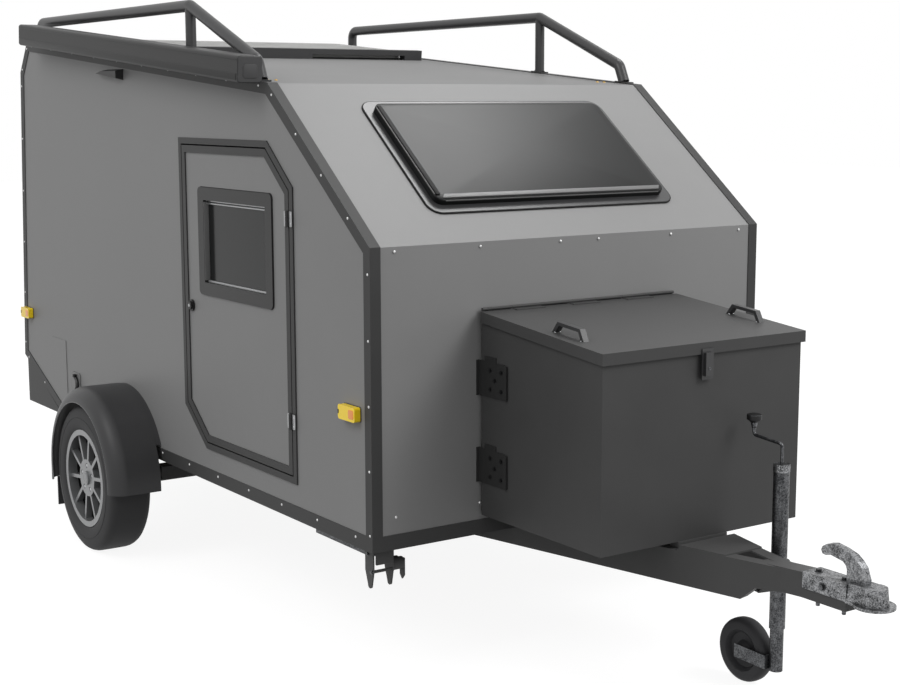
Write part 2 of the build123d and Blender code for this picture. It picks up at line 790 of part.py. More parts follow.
# Roof hatch lid and the bar across its front
hatch_up = (HATCH_BACK + HATCH_LENGTH / 2 - SLOPE_RUN) / math.cos(math.radians(ROOF_PITCH))
with BuildPart() as roof_hatch_lid:
    with BuildSketch(ROOF_PLANE):
        with Locations((0, hatch_up)):
            RectangleRounded(HATCH_WIDTH, HATCH_LENGTH, HATCH_CORNER)
    extrude(amount=HATCH_HEIGHT)
    roof_normal = Axis(ROOF_PLANE.origin, ROOF_PLANE.z_dir)
    fillet(roof_hatch_lid.faces().sort_by(roof_normal)[-1].edges(), 8)
write(roof_hatch_lid.part, "roof_hatch_lid")
bar_up = hatch_up - HATCH_LENGTH / 2 - BAR_DEPTH / 2
with BuildPart() as roof_hatch_bar:
    with BuildSketch(ROOF_PLANE.offset(BAR_TOP - BAR_THICK)):
        with Locations((0, bar_up)):
            Rectangle(BAR_LENGTH, BAR_DEPTH)
    extrude(amount=BAR_THICK)
    with BuildSketch(ROOF_PLANE):
        with Locations(
            ((BAR_LENGTH - BAR_FOOT_WIDTH) / 2, bar_up),
            (-(BAR_LENGTH - BAR_FOOT_WIDTH) / 2, bar_up),
        ):
            Rectangle(BAR_FOOT_WIDTH, BAR_DEPTH)
        with Locations((0, bar_up)):
            Rectangle(BAR_BLOCK_WIDTH, BAR_DEPTH)
    extrude(amount=BAR_TOP - BAR_THICK)
write(roof_hatch_bar.part, "roof_hatch_bar")

# Chassis: drawbar arms, front tube, plates, side members and cross members, welded up
arm_angle = math.degrees(math.atan(ARM_TAPER))


def arm_half(distance_ahead):
    """Half the drawbar's width over its arms, at a distance ahead of the front wall."""
    return ARM_HALF_AT_WALL - ARM_TAPER * distance_ahead


def arm_plane(offset):
    """A drawing plane along the right arm's outer face, moved inwards by an offset."""
    turn = math.radians(arm_angle)
    normal = (math.sin(turn), -math.cos(turn), 0)
    return Plane(
        origin=(FRONT - normal[0] * offset, -ARM_HALF_AT_WALL - normal[1] * offset, 0),
        x_dir=(math.cos(turn), math.sin(turn), 0),
        z_dir=normal,
    )


def arm_side(trim):
    """Side outline of a drawbar arm, its X counted along the arm from the front wall."""
    stretch = 1 / math.cos(math.radians(arm_angle))
    return [
        (-ARM_REAR_BACK * stretch, RAIL_Z + trim),
        (ARM_FOOT_AHEAD * stretch, RAIL_Z + trim),
        (ARM_KNEE_AHEAD * stretch, ARM_KNEE_Z + trim),
        (ARM_END_AHEAD * stretch, ARM_END_Z[0] + trim),
        (ARM_END_AHEAD * stretch, ARM_END_Z[1] - trim),
        (COVER_REAR_AHEAD * stretch, COVER_BOTTOM_Z - trim),
        (ARM_STEP_AHEAD * stretch, DRAWBAR_TOP_Z - trim),
        (ARM_RISE * stretch, DRAWBAR_TOP_Z - trim),
        (15 * stretch, FLOOR_Z - SILL_CLEARANCE - trim),
        (-(TRIM_LEG + 2) * stretch, FLOOR_Z - SILL_CLEARANCE - trim),
        (-(TRIM_LEG + 2) * stretch, floor_under_z - trim),
        (-ARM_REAR_BACK * stretch, floor_under_z - trim),
    ]


with BuildPart() as chassis:
    with BuildSketch(arm_plane(ARM_FLANGE)):
        with BuildLine():
            Polyline(*arm_side(0), close=True)
        make_face()
    extrude(amount=ARM_FLANGE)
    with BuildSketch(arm_plane(ARM_FLANGE)):
        with BuildLine():
            Polyline(*arm_side(ARM_THICK), close=True)
        make_face()
    extrude(amount=ARM_FLANGE - ARM_THICK, mode=Mode.SUBTRACT)
    long_outer = arm_half(-ARM_REAR_BACK)
    with BuildSketch(Plane.XY.offset(RAIL_Z)):
        with BuildLine():
            Polyline(
                (back(ARM_REAR_BACK - 20), -long_outer),
                (back(LONG_REAR_BACK), -long_outer),
                (back(LONG_REAR_BACK), -(long_outer - ARM_FLANGE)),
                (back(ARM_REAR_BACK - 20), -(long_outer - ARM_FLANGE)),
                close=True,
            )
        make_face()
    extrude(amount=floor_under_z - RAIL_Z)
    mirror(about=Plane.XZ)
    for cross_back in CROSS_BACKS:
        with BuildSketch(Plane.XY.offset(RAIL_Z)):
            with Locations((back(cross_back), 0)):
                Rectangle(CROSS_WIDTH, 2 * CROSS_HALF)
        extrude(amount=floor_under_z - RAIL_Z)
    with BuildSketch(side_plane(TUBE_HALF_WIDTH)):
        with BuildLine():
            Polyline(
                (ahead(TUBE_REAR_AHEAD), TUBE_REAR_Z[0]),
                (ahead(TUBE_LEVEL_AHEAD), TUBE_BOTTOM_Z),
                (ahead(TUBE_END_AHEAD), TUBE_BOTTOM_Z),
                (ahead(TUBE_END_AHEAD), TUBE_TOP_Z),
                (ahead(TUBE_LEVEL_AHEAD), TUBE_TOP_Z),
                (ahead(TUBE_REAR_AHEAD), TUBE_REAR_Z[1]),
                close=True,
            )
        make_face()
    extrude(amount=2 * TUBE_HALF_WIDTH)
    with BuildSketch(Plane.XY.offset(COVER_BOTTOM_Z)):
        with BuildLine():
            Polyline(
                (ahead(COVER_REAR_AHEAD), arm_half(COVER_REAR_AHEAD)),
                (ahead(COVER_FRONT_AHEAD), arm_half(COVER_FRONT_AHEAD)),
                (ahead(COVER_FRONT_AHEAD), -arm_half(COVER_FRONT_AHEAD)),
                (ahead(COVER_REAR_AHEAD), -arm_half(COVER_REAR_AHEAD)),
                close=True,
            )
        make_face()
    extrude(amount=COVER_TOP_Z - COVER_BOTTOM_Z)
    for bearer_ahead in (ARM_RISE + BEARER_WIDTH / 2, COVER_REAR_AHEAD - BEARER_WIDTH):
        with BuildSketch(Plane.XY.offset(DRAWBAR_TOP_Z)):
            with Locations((ahead(bearer_ahead), 0)):
                Rectangle(BEARER_WIDTH, 2 * arm_half(bearer_ahead) - ARM_FLANGE)
        extrude(amount=BOX_BOTTOM_Z - DRAWBAR_TOP_Z)
write(chassis.part, "chassis")

# Axle: square beam, trailing arms and stub axles
axle_x = back(AXLE_BACK)
beam_z = RAIL_Z - AXLE_SQUARE / 2
beam_x = axle_x + AXLE_AHEAD
hub_inner = WHEEL_Y - HUB_DEPTH / 2
with BuildPart() as axle_half:
    with BuildSketch(side_plane(0)):
        with Locations((beam_x, beam_z)):
            RectangleRounded(AXLE_SQUARE, AXLE_SQUARE, 6)
    extrude(amount=ARM_PLANE)
    with BuildSketch(side_plane(-ARM_PLANE)):
        with Locations(((beam_x + axle_x) / 2, (beam_z + TYRE_RADIUS) / 2)):
            SlotCenterToCenter(
                math.hypot(AXLE_AHEAD, beam_z - TYRE_RADIUS), ARM_HEIGHT,
                rotation=math.degrees(math.atan2(beam_z - TYRE_RADIUS, AXLE_AHEAD)),
            )
    extrude(amount=ARM_WIDTH)
    with BuildSketch(side_plane(-ARM_PLANE)):
        with Locations((axle_x, TYRE_RADIUS)):
            Circle(STUB_RADIUS)
    extrude(amount=hub_inner + STUB_LENGTH - ARM_PLANE)
with BuildPart() as axle:
    add(axle_half.part)
    mirror(axle_half.part, about=Plane.XZ)
write(axle.part, "axle")

# Tyre, revolved about the axle
wheel_plane = Plane(origin=(axle_x, 0, TYRE_RADIUS), x_dir=(0, -1, 0), z_dir=(-1, 0, 0))
bead_y = RIM_HALF_WIDTH - RIM_LIP_THICK
bead_radius = RIM_BARREL_RADIUS + BEAD_GAP
half_tyre = TYRE_WIDTH / 2
with BuildPart() as tyre_right:
    with BuildSketch(wheel_plane):
        with BuildLine():
            Line((WHEEL_Y - bead_y, bead_radius), (WHEEL_Y + bead_y, bead_radius))
            for way in (1, -1):
                shoulder = [
                    (WHEEL_Y + way * (half_tyre - inward), TYRE_RADIUS - drop)
                    for inward, drop in TYRE_SHOULDER
                ]
                Line((WHEEL_Y + way * bead_y, bead_radius), (WHEEL_Y + way * bead_y, RIM_LIP_RADIUS))
                ThreePointArc(
                    (WHEEL_Y + way * bead_y, RIM_LIP_RADIUS),
                    (WHEEL_Y + way * half_tyre, TYRE_RADIUS - TYRE_BULGE_DROP),
                    shoulder[0],
                )
                Polyline(*shoulder, (WHEEL_Y, TYRE_RADIUS))
        make_face()
    revolve(axis=Axis((axle_x, 0, TYRE_RADIUS), (0, 1, 0)))
write(tyre_right.part, "tyre_right")
write_mirrored(tyre_right.part, "tyre_left")

# Alloy rim with ten spokes and five bolt holes
spoke_face = WHEEL_Y + RIM_HALF_WIDTH - SPOKE_SINK
with BuildPart() as rim_right:
    with BuildSketch(wheel_plane):
        with BuildLine():
            Polyline(
                (WHEEL_Y - RIM_HALF_WIDTH, RIM_BARREL_RADIUS - RIM_WALL),
                (WHEEL_Y - RIM_HALF_WIDTH, RIM_LIP_RADIUS),
                (WHEEL_Y - bead_y, RIM_LIP_RADIUS),
                (WHEEL_Y - bead_y, RIM_BARREL_RADIUS),
                (WHEEL_Y + bead_y, RIM_BARREL_RADIUS),
                (WHEEL_Y + bead_y, RIM_LIP_RADIUS),
                (WHEEL_Y + RIM_HALF_WIDTH, RIM_LIP_RADIUS),
                (WHEEL_Y + RIM_HALF_WIDTH, RIM_BARREL_RADIUS - RIM_WALL),
                close=True,
            )
        make_face()
    revolve(axis=Axis((axle_x, 0, TYRE_RADIUS), (0, 1, 0)))
    spoke_plane = Plane(origin=(axle_x, -spoke_face, TYRE_RADIUS), x_dir=(1, 0, 0), z_dir=(0, -1, 0))
    with BuildSketch(spoke_plane):
        with PolarLocations(0, SPOKE_COUNT, start_angle=SPOKE_START):
            with Locations((RIM_BARREL_RADIUS / 2, 0)):
                Rectangle(RIM_BARREL_RADIUS - RIM_WALL / 2, SPOKE_WIDTH)
        Circle(HUB_RADIUS)
    extrude(amount=-SPOKE_DEPTH)
    with BuildSketch(side_plane(-hub_inner)):
        with Locations((axle_x, TYRE_RADIUS)):
            Circle(HUB_RADIUS)
    extrude(amount=spoke_face - hub_inner)
    with BuildSketch(spoke_plane):
        Circle(HUB_CAP_RADIUS)
    extrude(amount=HUB_CAP_PROUD)
    with BuildSketch(spoke_plane):
        with PolarLocations(BOLT_CIRCLE, BOLT_COUNT, start_angle=90):
            Circle(BOLT_HOLE)
    extrude(amount=-BOLT_HOLE_DEPTH, mode=Mode.SUBTRACT)
    with BuildSketch(side_plane(-hub_inner)):
        with Locations((axle_x, TYRE_RADIUS)):
            Circle(STUB_RADIUS + STUB_CLEARANCE)
    extrude(amount=STUB_LENGTH + 2, mode=Mode.SUBTRACT)
write(rim_right.part, "rim_right")
write_mirrored(rim_right.part, "rim_left")

# Mudguards: arch with a rounded shoulder, straight ends, a flap and a flange to the wall
GUARD_INNER = SKIN + GUARD_WALL_GAP
GUARD_OUTER = GUARD_INNER + GUARD_WIDTH
guard_axis = Axis((axle_x, 0, GUARD_CENTRE_Z), (0, -1, 0))


def guard_plane(angle):
    """A drawing plane through the wheel's axis, with X outwards and Y along a radius."""
    turn = math.radians(angle)
    return Plane(
        origin=(axle_x, 0, GUARD_CENTRE_Z),
        x_dir=(0, -1, 0),
        z_dir=(-math.sin(turn), 0, math.cos(turn)),
    )


with BuildSketch() as guard_section:
    shoulder = GUARD_OUTER - GUARD_SHOULDER
    mid = GUARD_SHOULDER * math.sin(math.radians(45))
    fall = (GUARD_RADIUS - GUARD_LIP_RADIUS) * (1 - math.cos(math.radians(45)))
    sheet = GUARD_THICK
    with BuildLine():
        Line((GUARD_INNER, GUARD_RADIUS), (shoulder, GUARD_RADIUS))
        ThreePointArc((shoulder, GUARD_RADIUS), (shoulder + mid, GUARD_RADIUS - fall),
                      (GUARD_OUTER, GUARD_LIP_RADIUS))
        Line((GUARD_OUTER, GUARD_LIP_RADIUS), (GUARD_OUTER - sheet, GUARD_LIP_RADIUS))
        ThreePointArc((GUARD_OUTER - sheet, GUARD_LIP_RADIUS),
                      (shoulder + mid - sheet, GUARD_RADIUS - fall - sheet),
                      (shoulder, GUARD_RADIUS - sheet))
        Line((shoulder, GUARD_RADIUS - sheet), (GUARD_INNER, GUARD_RADIUS - sheet))
        Line((GUARD_INNER, GUARD_RADIUS - sheet), (GUARD_INNER, GUARD_RADIUS))
    make_face()
with BuildPart() as mudguard:
    with BuildSketch(guard_plane(0)):
        add(guard_section.sketch)
    revolve(axis=guard_axis, revolution_arc=180)
    for end_angle, drop in ((0, GUARD_FRONT_DROP), (180, GUARD_REAR_DROP)):
        with BuildSketch(guard_plane(end_angle)):
            add(guard_section.sketch)
        extrude(amount=-drop if end_angle == 0 else drop)
    flap_x = axle_x - GUARD_RADIUS + GUARD_THICK / 2 + FLAP_THICK / 2
    guard_end_z = GUARD_CENTRE_Z - GUARD_REAR_DROP
    flap_y = -(GUARD_INNER + FLAP_MIDDLE * GUARD_WIDTH)
    with BuildSketch(Plane.XY.offset(guard_end_z - FLAP_GAP)):
        with Locations((flap_x, flap_y)):
            Rectangle(FLAP_THICK, FLAP_SHARE * GUARD_WIDTH)
    extrude(amount=-FLAP_DROP)
    with BuildSketch(Plane.XY.offset(guard_end_z - FLAP_LAP)):
        with Locations((flap_x, -(GUARD_INNER + (GUARD_WIDTH - GUARD_SHOULDER) / 2))):
            Rectangle(FLAP_THICK, FLAP_SHARE * (GUARD_WIDTH - GUARD_SHOULDER))
    extrude(amount=2 * FLAP_LAP)
    with BuildSketch(guard_plane(GUARD_FLANGE_START)):
        with Locations(((SKIN + GUARD_INNER + GUARD_FLANGE_LAP) / 2,
                        GUARD_RADIUS - 1.5 * GUARD_THICK + GUARD_SEAM_LAP)):
            Rectangle(GUARD_INNER + GUARD_FLANGE_LAP - SKIN, GUARD_THICK)
    revolve(axis=guard_axis, revolution_arc=GUARD_FLANGE_ARC)
write(mudguard.part, "mudguard_right")
write_mirrored(mudguard.part, "mudguard_left")

# Outline of the coupling's lever, counted from the ball's centre and the top of the head
LEVER_OUTLINE = [
    (-26, -8), (-24, 11), (-36, 42), (-51, 58), (-73, 73), (-105, 82), (-142, 88), (-164, 83), (-178, 74),
    (-183, 64), (-178, 53), (-166, 51), (-148, 56), (-104, 48), (-93, 39), (-89, 29), (-89, -8),
]

# Coupling head: sheet housing over the tube, with a blind ball socket and a lever
head_half = TUBE_HALF_WIDTH + HEAD_WALL
with BuildPart() as coupling:
    with BuildSketch(Plane.XY.offset(HEAD_BOTTOM_Z)):
        with BuildLine():
            Polyline(
                (ahead(TUBE_END_AHEAD), -head_half),
                (ahead(BALL_AHEAD), -(DOME_RADIUS + LIP_HEIGHT)),
                (ahead(BALL_AHEAD), DOME_RADIUS + LIP_HEIGHT),
                (ahead(TUBE_END_AHEAD), head_half),
                close=True,
            )
        make_face()
        with Locations((ahead(BALL_AHEAD), 0)):
            Circle(NOSE_REACH - BALL_AHEAD)
    extrude(amount=LIP_HEIGHT)
    with BuildSketch(Plane.XY.offset(HEAD_BOTTOM_Z)):
        with Locations((ahead((TUBE_END_AHEAD + BALL_AHEAD) / 2), 0)):
            Rectangle(BALL_AHEAD - TUBE_END_AHEAD, 2 * head_half)
        with Locations((ahead(BALL_AHEAD), 0)):
            Circle(DOME_RADIUS)
    extrude(amount=HEAD_TOP_Z - HEAD_BOTTOM_Z, taper=6)
    with BuildSketch(side_plane(head_half)):
        with BuildLine():
            Polyline(
                (ahead(HEAD_START_AHEAD), HEAD_BAND_Z),
                (ahead(TUBE_END_AHEAD + HEAD_WALL), HEAD_BAND_Z),
                (ahead(TUBE_END_AHEAD + HEAD_WALL), TUBE_TOP_Z + HEAD_WALL),
                (ahead(HEAD_START_AHEAD), TUBE_TOP_Z + HEAD_WALL),
                close=True,
            )
        make_face()
    extrude(amount=2 * head_half)
    with BuildSketch(Plane.XY.offset(HEAD_BOTTOM_Z)):
        with Locations((ahead((HEAD_START_AHEAD + TUBE_END_AHEAD) / 2), 0)):
            Rectangle(TUBE_END_AHEAD - HEAD_START_AHEAD, 2 * TUBE_HALF_WIDTH)
    extrude(amount=TUBE_TOP_Z - HEAD_BOTTOM_Z, mode=Mode.SUBTRACT)
    with BuildSketch(Plane.XY.offset(HEAD_BOTTOM_Z - 1)):
        with Locations((ahead(BALL_AHEAD), 0)):
            Circle(BALL_RADIUS)
    extrude(amount=BALL_Z - HEAD_BOTTOM_Z + 1, mode=Mode.SUBTRACT)
    with Locations((ahead(BALL_AHEAD), 0, BALL_Z)):
        Sphere(BALL_RADIUS, mode=Mode.SUBTRACT)
    with BuildSketch(side_plane(LEVER_WIDTH / 2)):
        with BuildLine():
            Polyline(
                *[(ahead(BALL_AHEAD + run), HEAD_TOP_Z + rise) for run, rise in LEVER_OUTLINE],
                close=True,
            )
        make_face()
    extrude(amount=LEVER_WIDTH)
write(coupling.part, "coupling")

# Rear skirt: two side cheeks and a rear face, with a raised pad for the number plate
depart_x = back(BODY_LENGTH - DEPARTURE_RUN)
depart_slope = (REAR_FOOT_Z - FLOOR_Z) / DEPARTURE_RUN


def under_departure(x, clear):
    """Height just under the sloping floor at this X."""
    return FLOOR_Z + (depart_x - x) * depart_slope - clear


skirt_x = back(SKIRT_BACK)
SKIRT_PLANE = Plane(origin=(skirt_x, 0, 0), x_dir=(0, -1, 0), z_dir=(-1, 0, 0))
with BuildPart() as rear_skirt:
    with BuildSketch(side_plane(-(SKIN - SKIRT_SHEET))):
        with BuildLine():
            Polyline(
                (skirt_x, SKIRT_BOTTOM_Z),
                (depart_x - 40, SKIRT_BOTTOM_Z),
                (skirt_x, under_departure(skirt_x, 0)),
                close=True,
            )
        make_face()
    extrude(amount=SKIRT_SHEET)
    mirror(about=Plane.XZ)
    with BuildSketch(side_plane(SKIN)):
        with BuildLine():
            Polyline(
                (skirt_x, SKIRT_BOTTOM_Z),
                (skirt_x + SKIRT_SHEET, SKIRT_BOTTOM_Z),
                (skirt_x + SKIRT_SHEET, under_departure(skirt_x + SKIRT_SHEET, 0)),
                (skirt_x, under_departure(skirt_x, 0)),
                close=True,
            )
        make_face()
    extrude(amount=2 * SKIN)
    with BuildSketch(SKIRT_PLANE):
        with Locations((0, TAIL_Z)):
            Rectangle(PLATE_PAD_WIDTH, PLATE_PAD_HEIGHT)
    extrude(amount=PLATE_PAD_THICK)
write(rear_skirt.part, "rear_skirt")

# Tail lamps on the skirt's rear face
with BuildPart() as tail_lamp:
    with BuildSketch(SKIRT_PLANE):
        with Locations((TAIL_SIDE, TAIL_Z)):
            RectangleRounded(TAIL_WIDTH, TAIL_HEIGHT, 14)
    extrude(amount=TAIL_THICK)
write_pair(tail_lamp.part, "tail_lamps")

# Amber marker lamps, two on each side
with BuildPart() as marker_lamp:
    for marker_back in MARKER_BACKS:
        with BuildSketch(side_plane(-SKIN)):
            with Locations((back(marker_back), MARKER_Z)):
                RectangleRounded(MARKER_LENGTH, MARKER_HEIGHT, 8)
        extrude(amount=MARKER_PROUD)
    add(edge_trim.part, mode=Mode.SUBTRACT)
write_pair(marker_lamp.part, "marker_lamps")

# Vent cowl high on the right wall, its point to the rear
with BuildPart() as vent_cowl:
    with BuildSketch(side_plane(-SKIN)):
        with BuildLine():
            Polyline(
                (back(VENT_FRONT_BACK), VENT_Z),
                (back(VENT_FRONT_BACK), VENT_Z + VENT_HEIGHT),
                (back(VENT_REAR_BACK - 90), VENT_Z + VENT_HEIGHT),
                (back(VENT_REAR_BACK), VENT_Z + VENT_HEIGHT - 16),
                close=True,
            )
        make_face()
    extrude(amount=VENT_PROUD, taper=12)
write(vent_cowl.part, "vent_cowl")

# Service hatch and power inlet low at the rear
with BuildPart() as service_hatch:
    with BuildSketch(side_plane(-SKIN)):
        with BuildLine():
            Polyline(
                (back(SERVICE_REAR_BACK), SERVICE_TOP_Z),
                (back(SERVICE_FRONT_BACK), SERVICE_TOP_Z),
                (back(SERVICE_FRONT_BACK), SERVICE_BOTTOM_Z - 60),
                (back(SERVICE_REAR_BACK), SERVICE_BOTTOM_Z),
                close=True,
            )
        make_face()
    extrude(amount=SERVICE_THICK)
write(service_hatch.part, "service_hatch")
with BuildPart() as power_inlet:
    with BuildSketch(side_plane(-SKIN)):
        with Locations((back(INLET_BACK), INLET_Z)):
            RectangleRounded(INLET_SIZE, INLET_SIZE, 14)
    extrude(amount=INLET_PLATE)
    with BuildSketch(side_plane(-SKIN)):
        with Locations((back(INLET_BACK), INLET_Z)):
            Circle(INLET_CAP_RADIUS)
    extrude(amount=INLET_CAP_PROUD)
write(power_inlet.part, "power_inlet")

# Storage box: open tray with a sloping top edge
lid_slope = (LID_BACK_Z - LID_FRONT_Z) / (LID_FRONT_AHEAD - BOX_BACK_AHEAD)


def lid_z(distance_ahead, below):
    """Height of a place below the lid's top face, at a distance ahead of the front wall."""
    return LID_BACK_Z - (distance_ahead - BOX_BACK_AHEAD) * lid_slope - below


def box_side(margin, top_gap, bottom_gap):
    """Side outline of the box, drawn in by a margin at its front and back."""
    rear = BOX_BACK_AHEAD + margin
    front = BOX_FRONT_AHEAD - margin
    return [
        (ahead(rear), BOX_BOTTOM_Z + bottom_gap),
        (ahead(front), BOX_BOTTOM_Z + bottom_gap),
        (ahead(front), lid_z(front, top_gap)),
        (ahead(rear), lid_z(rear, top_gap)),
    ]


box_top_gap = LID_SHEET + LID_RIM_GAP
with BuildPart() as storage_box:
    with BuildSketch(side_plane(BOX_HALF_WIDTH)):
        with BuildLine():
            Polyline(*box_side(0, box_top_gap, 0), close=True)
        make_face()
    extrude(amount=2 * BOX_HALF_WIDTH)
    with BuildSketch(side_plane(BOX_HALF_WIDTH - BOX_WALL)):
        with BuildLine():
            Polyline(*box_side(BOX_WALL, -10, BOX_WALL), close=True)
        make_face()
    extrude(amount=2 * (BOX_HALF_WIDTH - BOX_WALL), mode=Mode.SUBTRACT)
    lid_hinge = (ahead(LID_HINGE_AHEAD), LID_BACK_Z + LID_HINGE_RADIUS)
    knuckle_y = 2 * BOX_HALF_WIDTH / LID_KNUCKLES
    for number in range(0, LID_KNUCKLES, 2):
        with BuildSketch(side_plane(BOX_HALF_WIDTH - number * knuckle_y - KNUCKLE_GAP / 2)):
            with Locations(lid_hinge):
                Circle(LID_HINGE_RADIUS)
            with BuildLine():
                Polyline(
                    (lid_hinge[0] - LID_HINGE_RADIUS, lid_hinge[1]),
                    (lid_hinge[0] - LID_HINGE_RADIUS, LID_BACK_Z - LID_SKIRT),
                    (ahead(BOX_BACK_AHEAD), LID_BACK_Z - LID_SKIRT),
                    (ahead(BOX_BACK_AHEAD), lid_hinge[1]),
                    close=True,
                )
            make_face()
        extrude(amount=knuckle_y - KNUCKLE_GAP)
    with BuildSketch(side_plane(BOX_HALF_WIDTH - KNUCKLE_GAP / 2)):
        with Locations(lid_hinge):
            Circle(LID_PIN_RADIUS)
    extrude(amount=2 * BOX_HALF_WIDTH - KNUCKLE_GAP)
write(storage_box.part, "storage_box")

# Lid: sheet with skirts at the front and sides, and its hinge knuckles
lid_rear_ahead = LID_HINGE_AHEAD + LID_HINGE_RADIUS + KNUCKLE_GAP


def lid_side(front, below, rear):
    """Side outline of the lid down to a depth below its top face."""
    return [
        (ahead(rear), lid_z(rear, 0)),
        (ahead(front), lid_z(front, 0)),
        (ahead(front), lid_z(front, below)),
        (ahead(rear), lid_z(rear, below)),
    ]


with BuildPart() as box_lid:
    with BuildSketch(side_plane(LID_HALF_WIDTH)):
        with BuildLine():
            Polyline(*lid_side(LID_FRONT_AHEAD, LID_SKIRT, lid_rear_ahead), close=True)
        make_face()
    extrude(amount=2 * LID_HALF_WIDTH)
    with BuildSketch(side_plane(LID_HALF_WIDTH - LID_SHEET)):
        with BuildLine():
            Polyline(
                (ahead(lid_rear_ahead - 10), lid_z(lid_rear_ahead - 10, LID_SHEET)),
                (ahead(LID_FRONT_AHEAD - LID_SHEET), lid_z(LID_FRONT_AHEAD - LID_SHEET, LID_SHEET)),
                (ahead(LID_FRONT_AHEAD - LID_SHEET), lid_z(LID_FRONT_AHEAD, LID_SKIRT + 10)),
                (ahead(lid_rear_ahead - 10), lid_z(lid_rear_ahead, LID_SKIRT + 10)),
                close=True,
            )
        make_face()
    extrude(amount=2 * (LID_HALF_WIDTH - LID_SHEET), mode=Mode.SUBTRACT)
    for number in range(1, LID_KNUCKLES, 2):
        with BuildSketch(side_plane(BOX_HALF_WIDTH - number * knuckle_y - KNUCKLE_GAP / 2)):
            with Locations(lid_hinge):
                Circle(LID_HINGE_RADIUS)
            with BuildLine():
                Polyline(
                    (lid_hinge[0], LID_BACK_Z + 1),
                    (ahead(lid_rear_ahead + 25), lid_z(lid_rear_ahead + 25, -LID_SHEET)),
                    (ahead(lid_rear_ahead + 25), lid_z(lid_rear_ahead + 25, 1)),
                    (ahead(lid_rear_ahead), lid_z(lid_rear_ahead, 1)),
                    (ahead(lid_rear_ahead), LID_BACK_Z),
                    close=True,
                )
            make_face()
        extrude(amount=knuckle_y - KNUCKLE_GAP)
    with BuildSketch(side_plane(BOX_HALF_WIDTH)):
        with Locations(lid_hinge):
            Circle(LID_PIN_RADIUS + HINGE_PIN_CLEARANCE)
    extrude(amount=2 * BOX_HALF_WIDTH, mode=Mode.SUBTRACT)
write(box_lid.part, "box_lid")

# Handles and latch on the lid
lid_tilt = math.atan(lid_slope)
LID_PLANE = Plane(
    origin=(ahead(BOX_BACK_AHEAD), 0, LID_BACK_Z),
    x_dir=(0, 1, 0),
    z_dir=(math.sin(lid_tilt), 0, math.cos(lid_tilt)),
)
handle_half = HANDLE_LENGTH / 2
handle_inner = handle_half - HANDLE_LEAN * (1 - HANDLE_THICK / HANDLE_RISE) - HANDLE_FOOT
with BuildPart() as lid_hardware:
    for side in (-1, 1):
        handle_foot = Vector(side * HANDLE_SIDE - HANDLE_THICK, HANDLE_UP, 0)
        handle_plane = Plane(
            origin=LID_PLANE.from_local_coords(handle_foot),
            x_dir=LID_PLANE.y_dir,
            z_dir=LID_PLANE.x_dir,
        )
        with BuildSketch(handle_plane):
            with BuildLine():
                Polyline(
                    (-handle_half, 0),
                    (-handle_half + HANDLE_LEAN, HANDLE_RISE),
                    (handle_half - HANDLE_LEAN, HANDLE_RISE),
                    (handle_half, 0),
                    (handle_half - HANDLE_FOOT, 0),
                    (handle_inner, HANDLE_RISE - HANDLE_THICK),
                    (-handle_inner, HANDLE_RISE - HANDLE_THICK),
                    (-handle_half + HANDLE_FOOT, 0),
                    close=True,
                )
            make_face()
        extrude(amount=2 * HANDLE_THICK)
    for plate, proud in (((LATCH_WIDTH, LATCH_HEIGHT), LATCH_THICK), (LATCH_LEVER, LATCH_LEVER_PROUD)):
        with BuildSketch(Plane(origin=(ahead(LID_FRONT_AHEAD), 0, 0), x_dir=(0, 1, 0), z_dir=(1, 0, 0))):
            with Locations((LATCH_SIDE, LATCH_Z)):
                Rectangle(*plate)
        extrude(amount=proud)
write(lid_hardware.part, "lid_hardware")

# Angle plates that hold the box to the front wall, each with a tab and a lever bar ahead of it
with BuildPart() as box_bracket:
    for plate_z in PLATE_HEIGHTS:
        with BuildSketch(side_plane(-BOX_HALF_WIDTH)):
            with Locations((ahead(PLATE_REACH / 2), plate_z)):
                Rectangle(PLATE_REACH, PLATE_SIZE)
            with Locations((ahead(PLATE_TAB_AHEAD), plate_z + PLATE_SIZE / 2)):
                Rectangle(PLATE_TAB_WIDTH, 2 * PLATE_TAB_HEIGHT)
            with Locations((ahead(0), plate_z)):
                Rectangle(2 * TRIM_THICK, PLATE_SIZE)
        extrude(amount=PLATE_THICK)
        with BuildSketch(side_plane(-BOX_HALF_WIDTH)):
            with Locations((ahead(PLATE_THICK / 2 - TRIM_THICK), plate_z)):
                Rectangle(PLATE_THICK, PLATE_SIZE)
        extrude(amount=PLATE_FLANGE)
        with BuildSketch(side_plane(-BOX_HALF_WIDTH)):
            with Locations((ahead(BAR_AHEAD), plate_z)):
                RectangleRounded(BAR_WIDTH, BAR_HEIGHT, BAR_WIDTH / 3)
        extrude(amount=BAR_PROUD)
write_pair(box_bracket.part, "box_brackets")

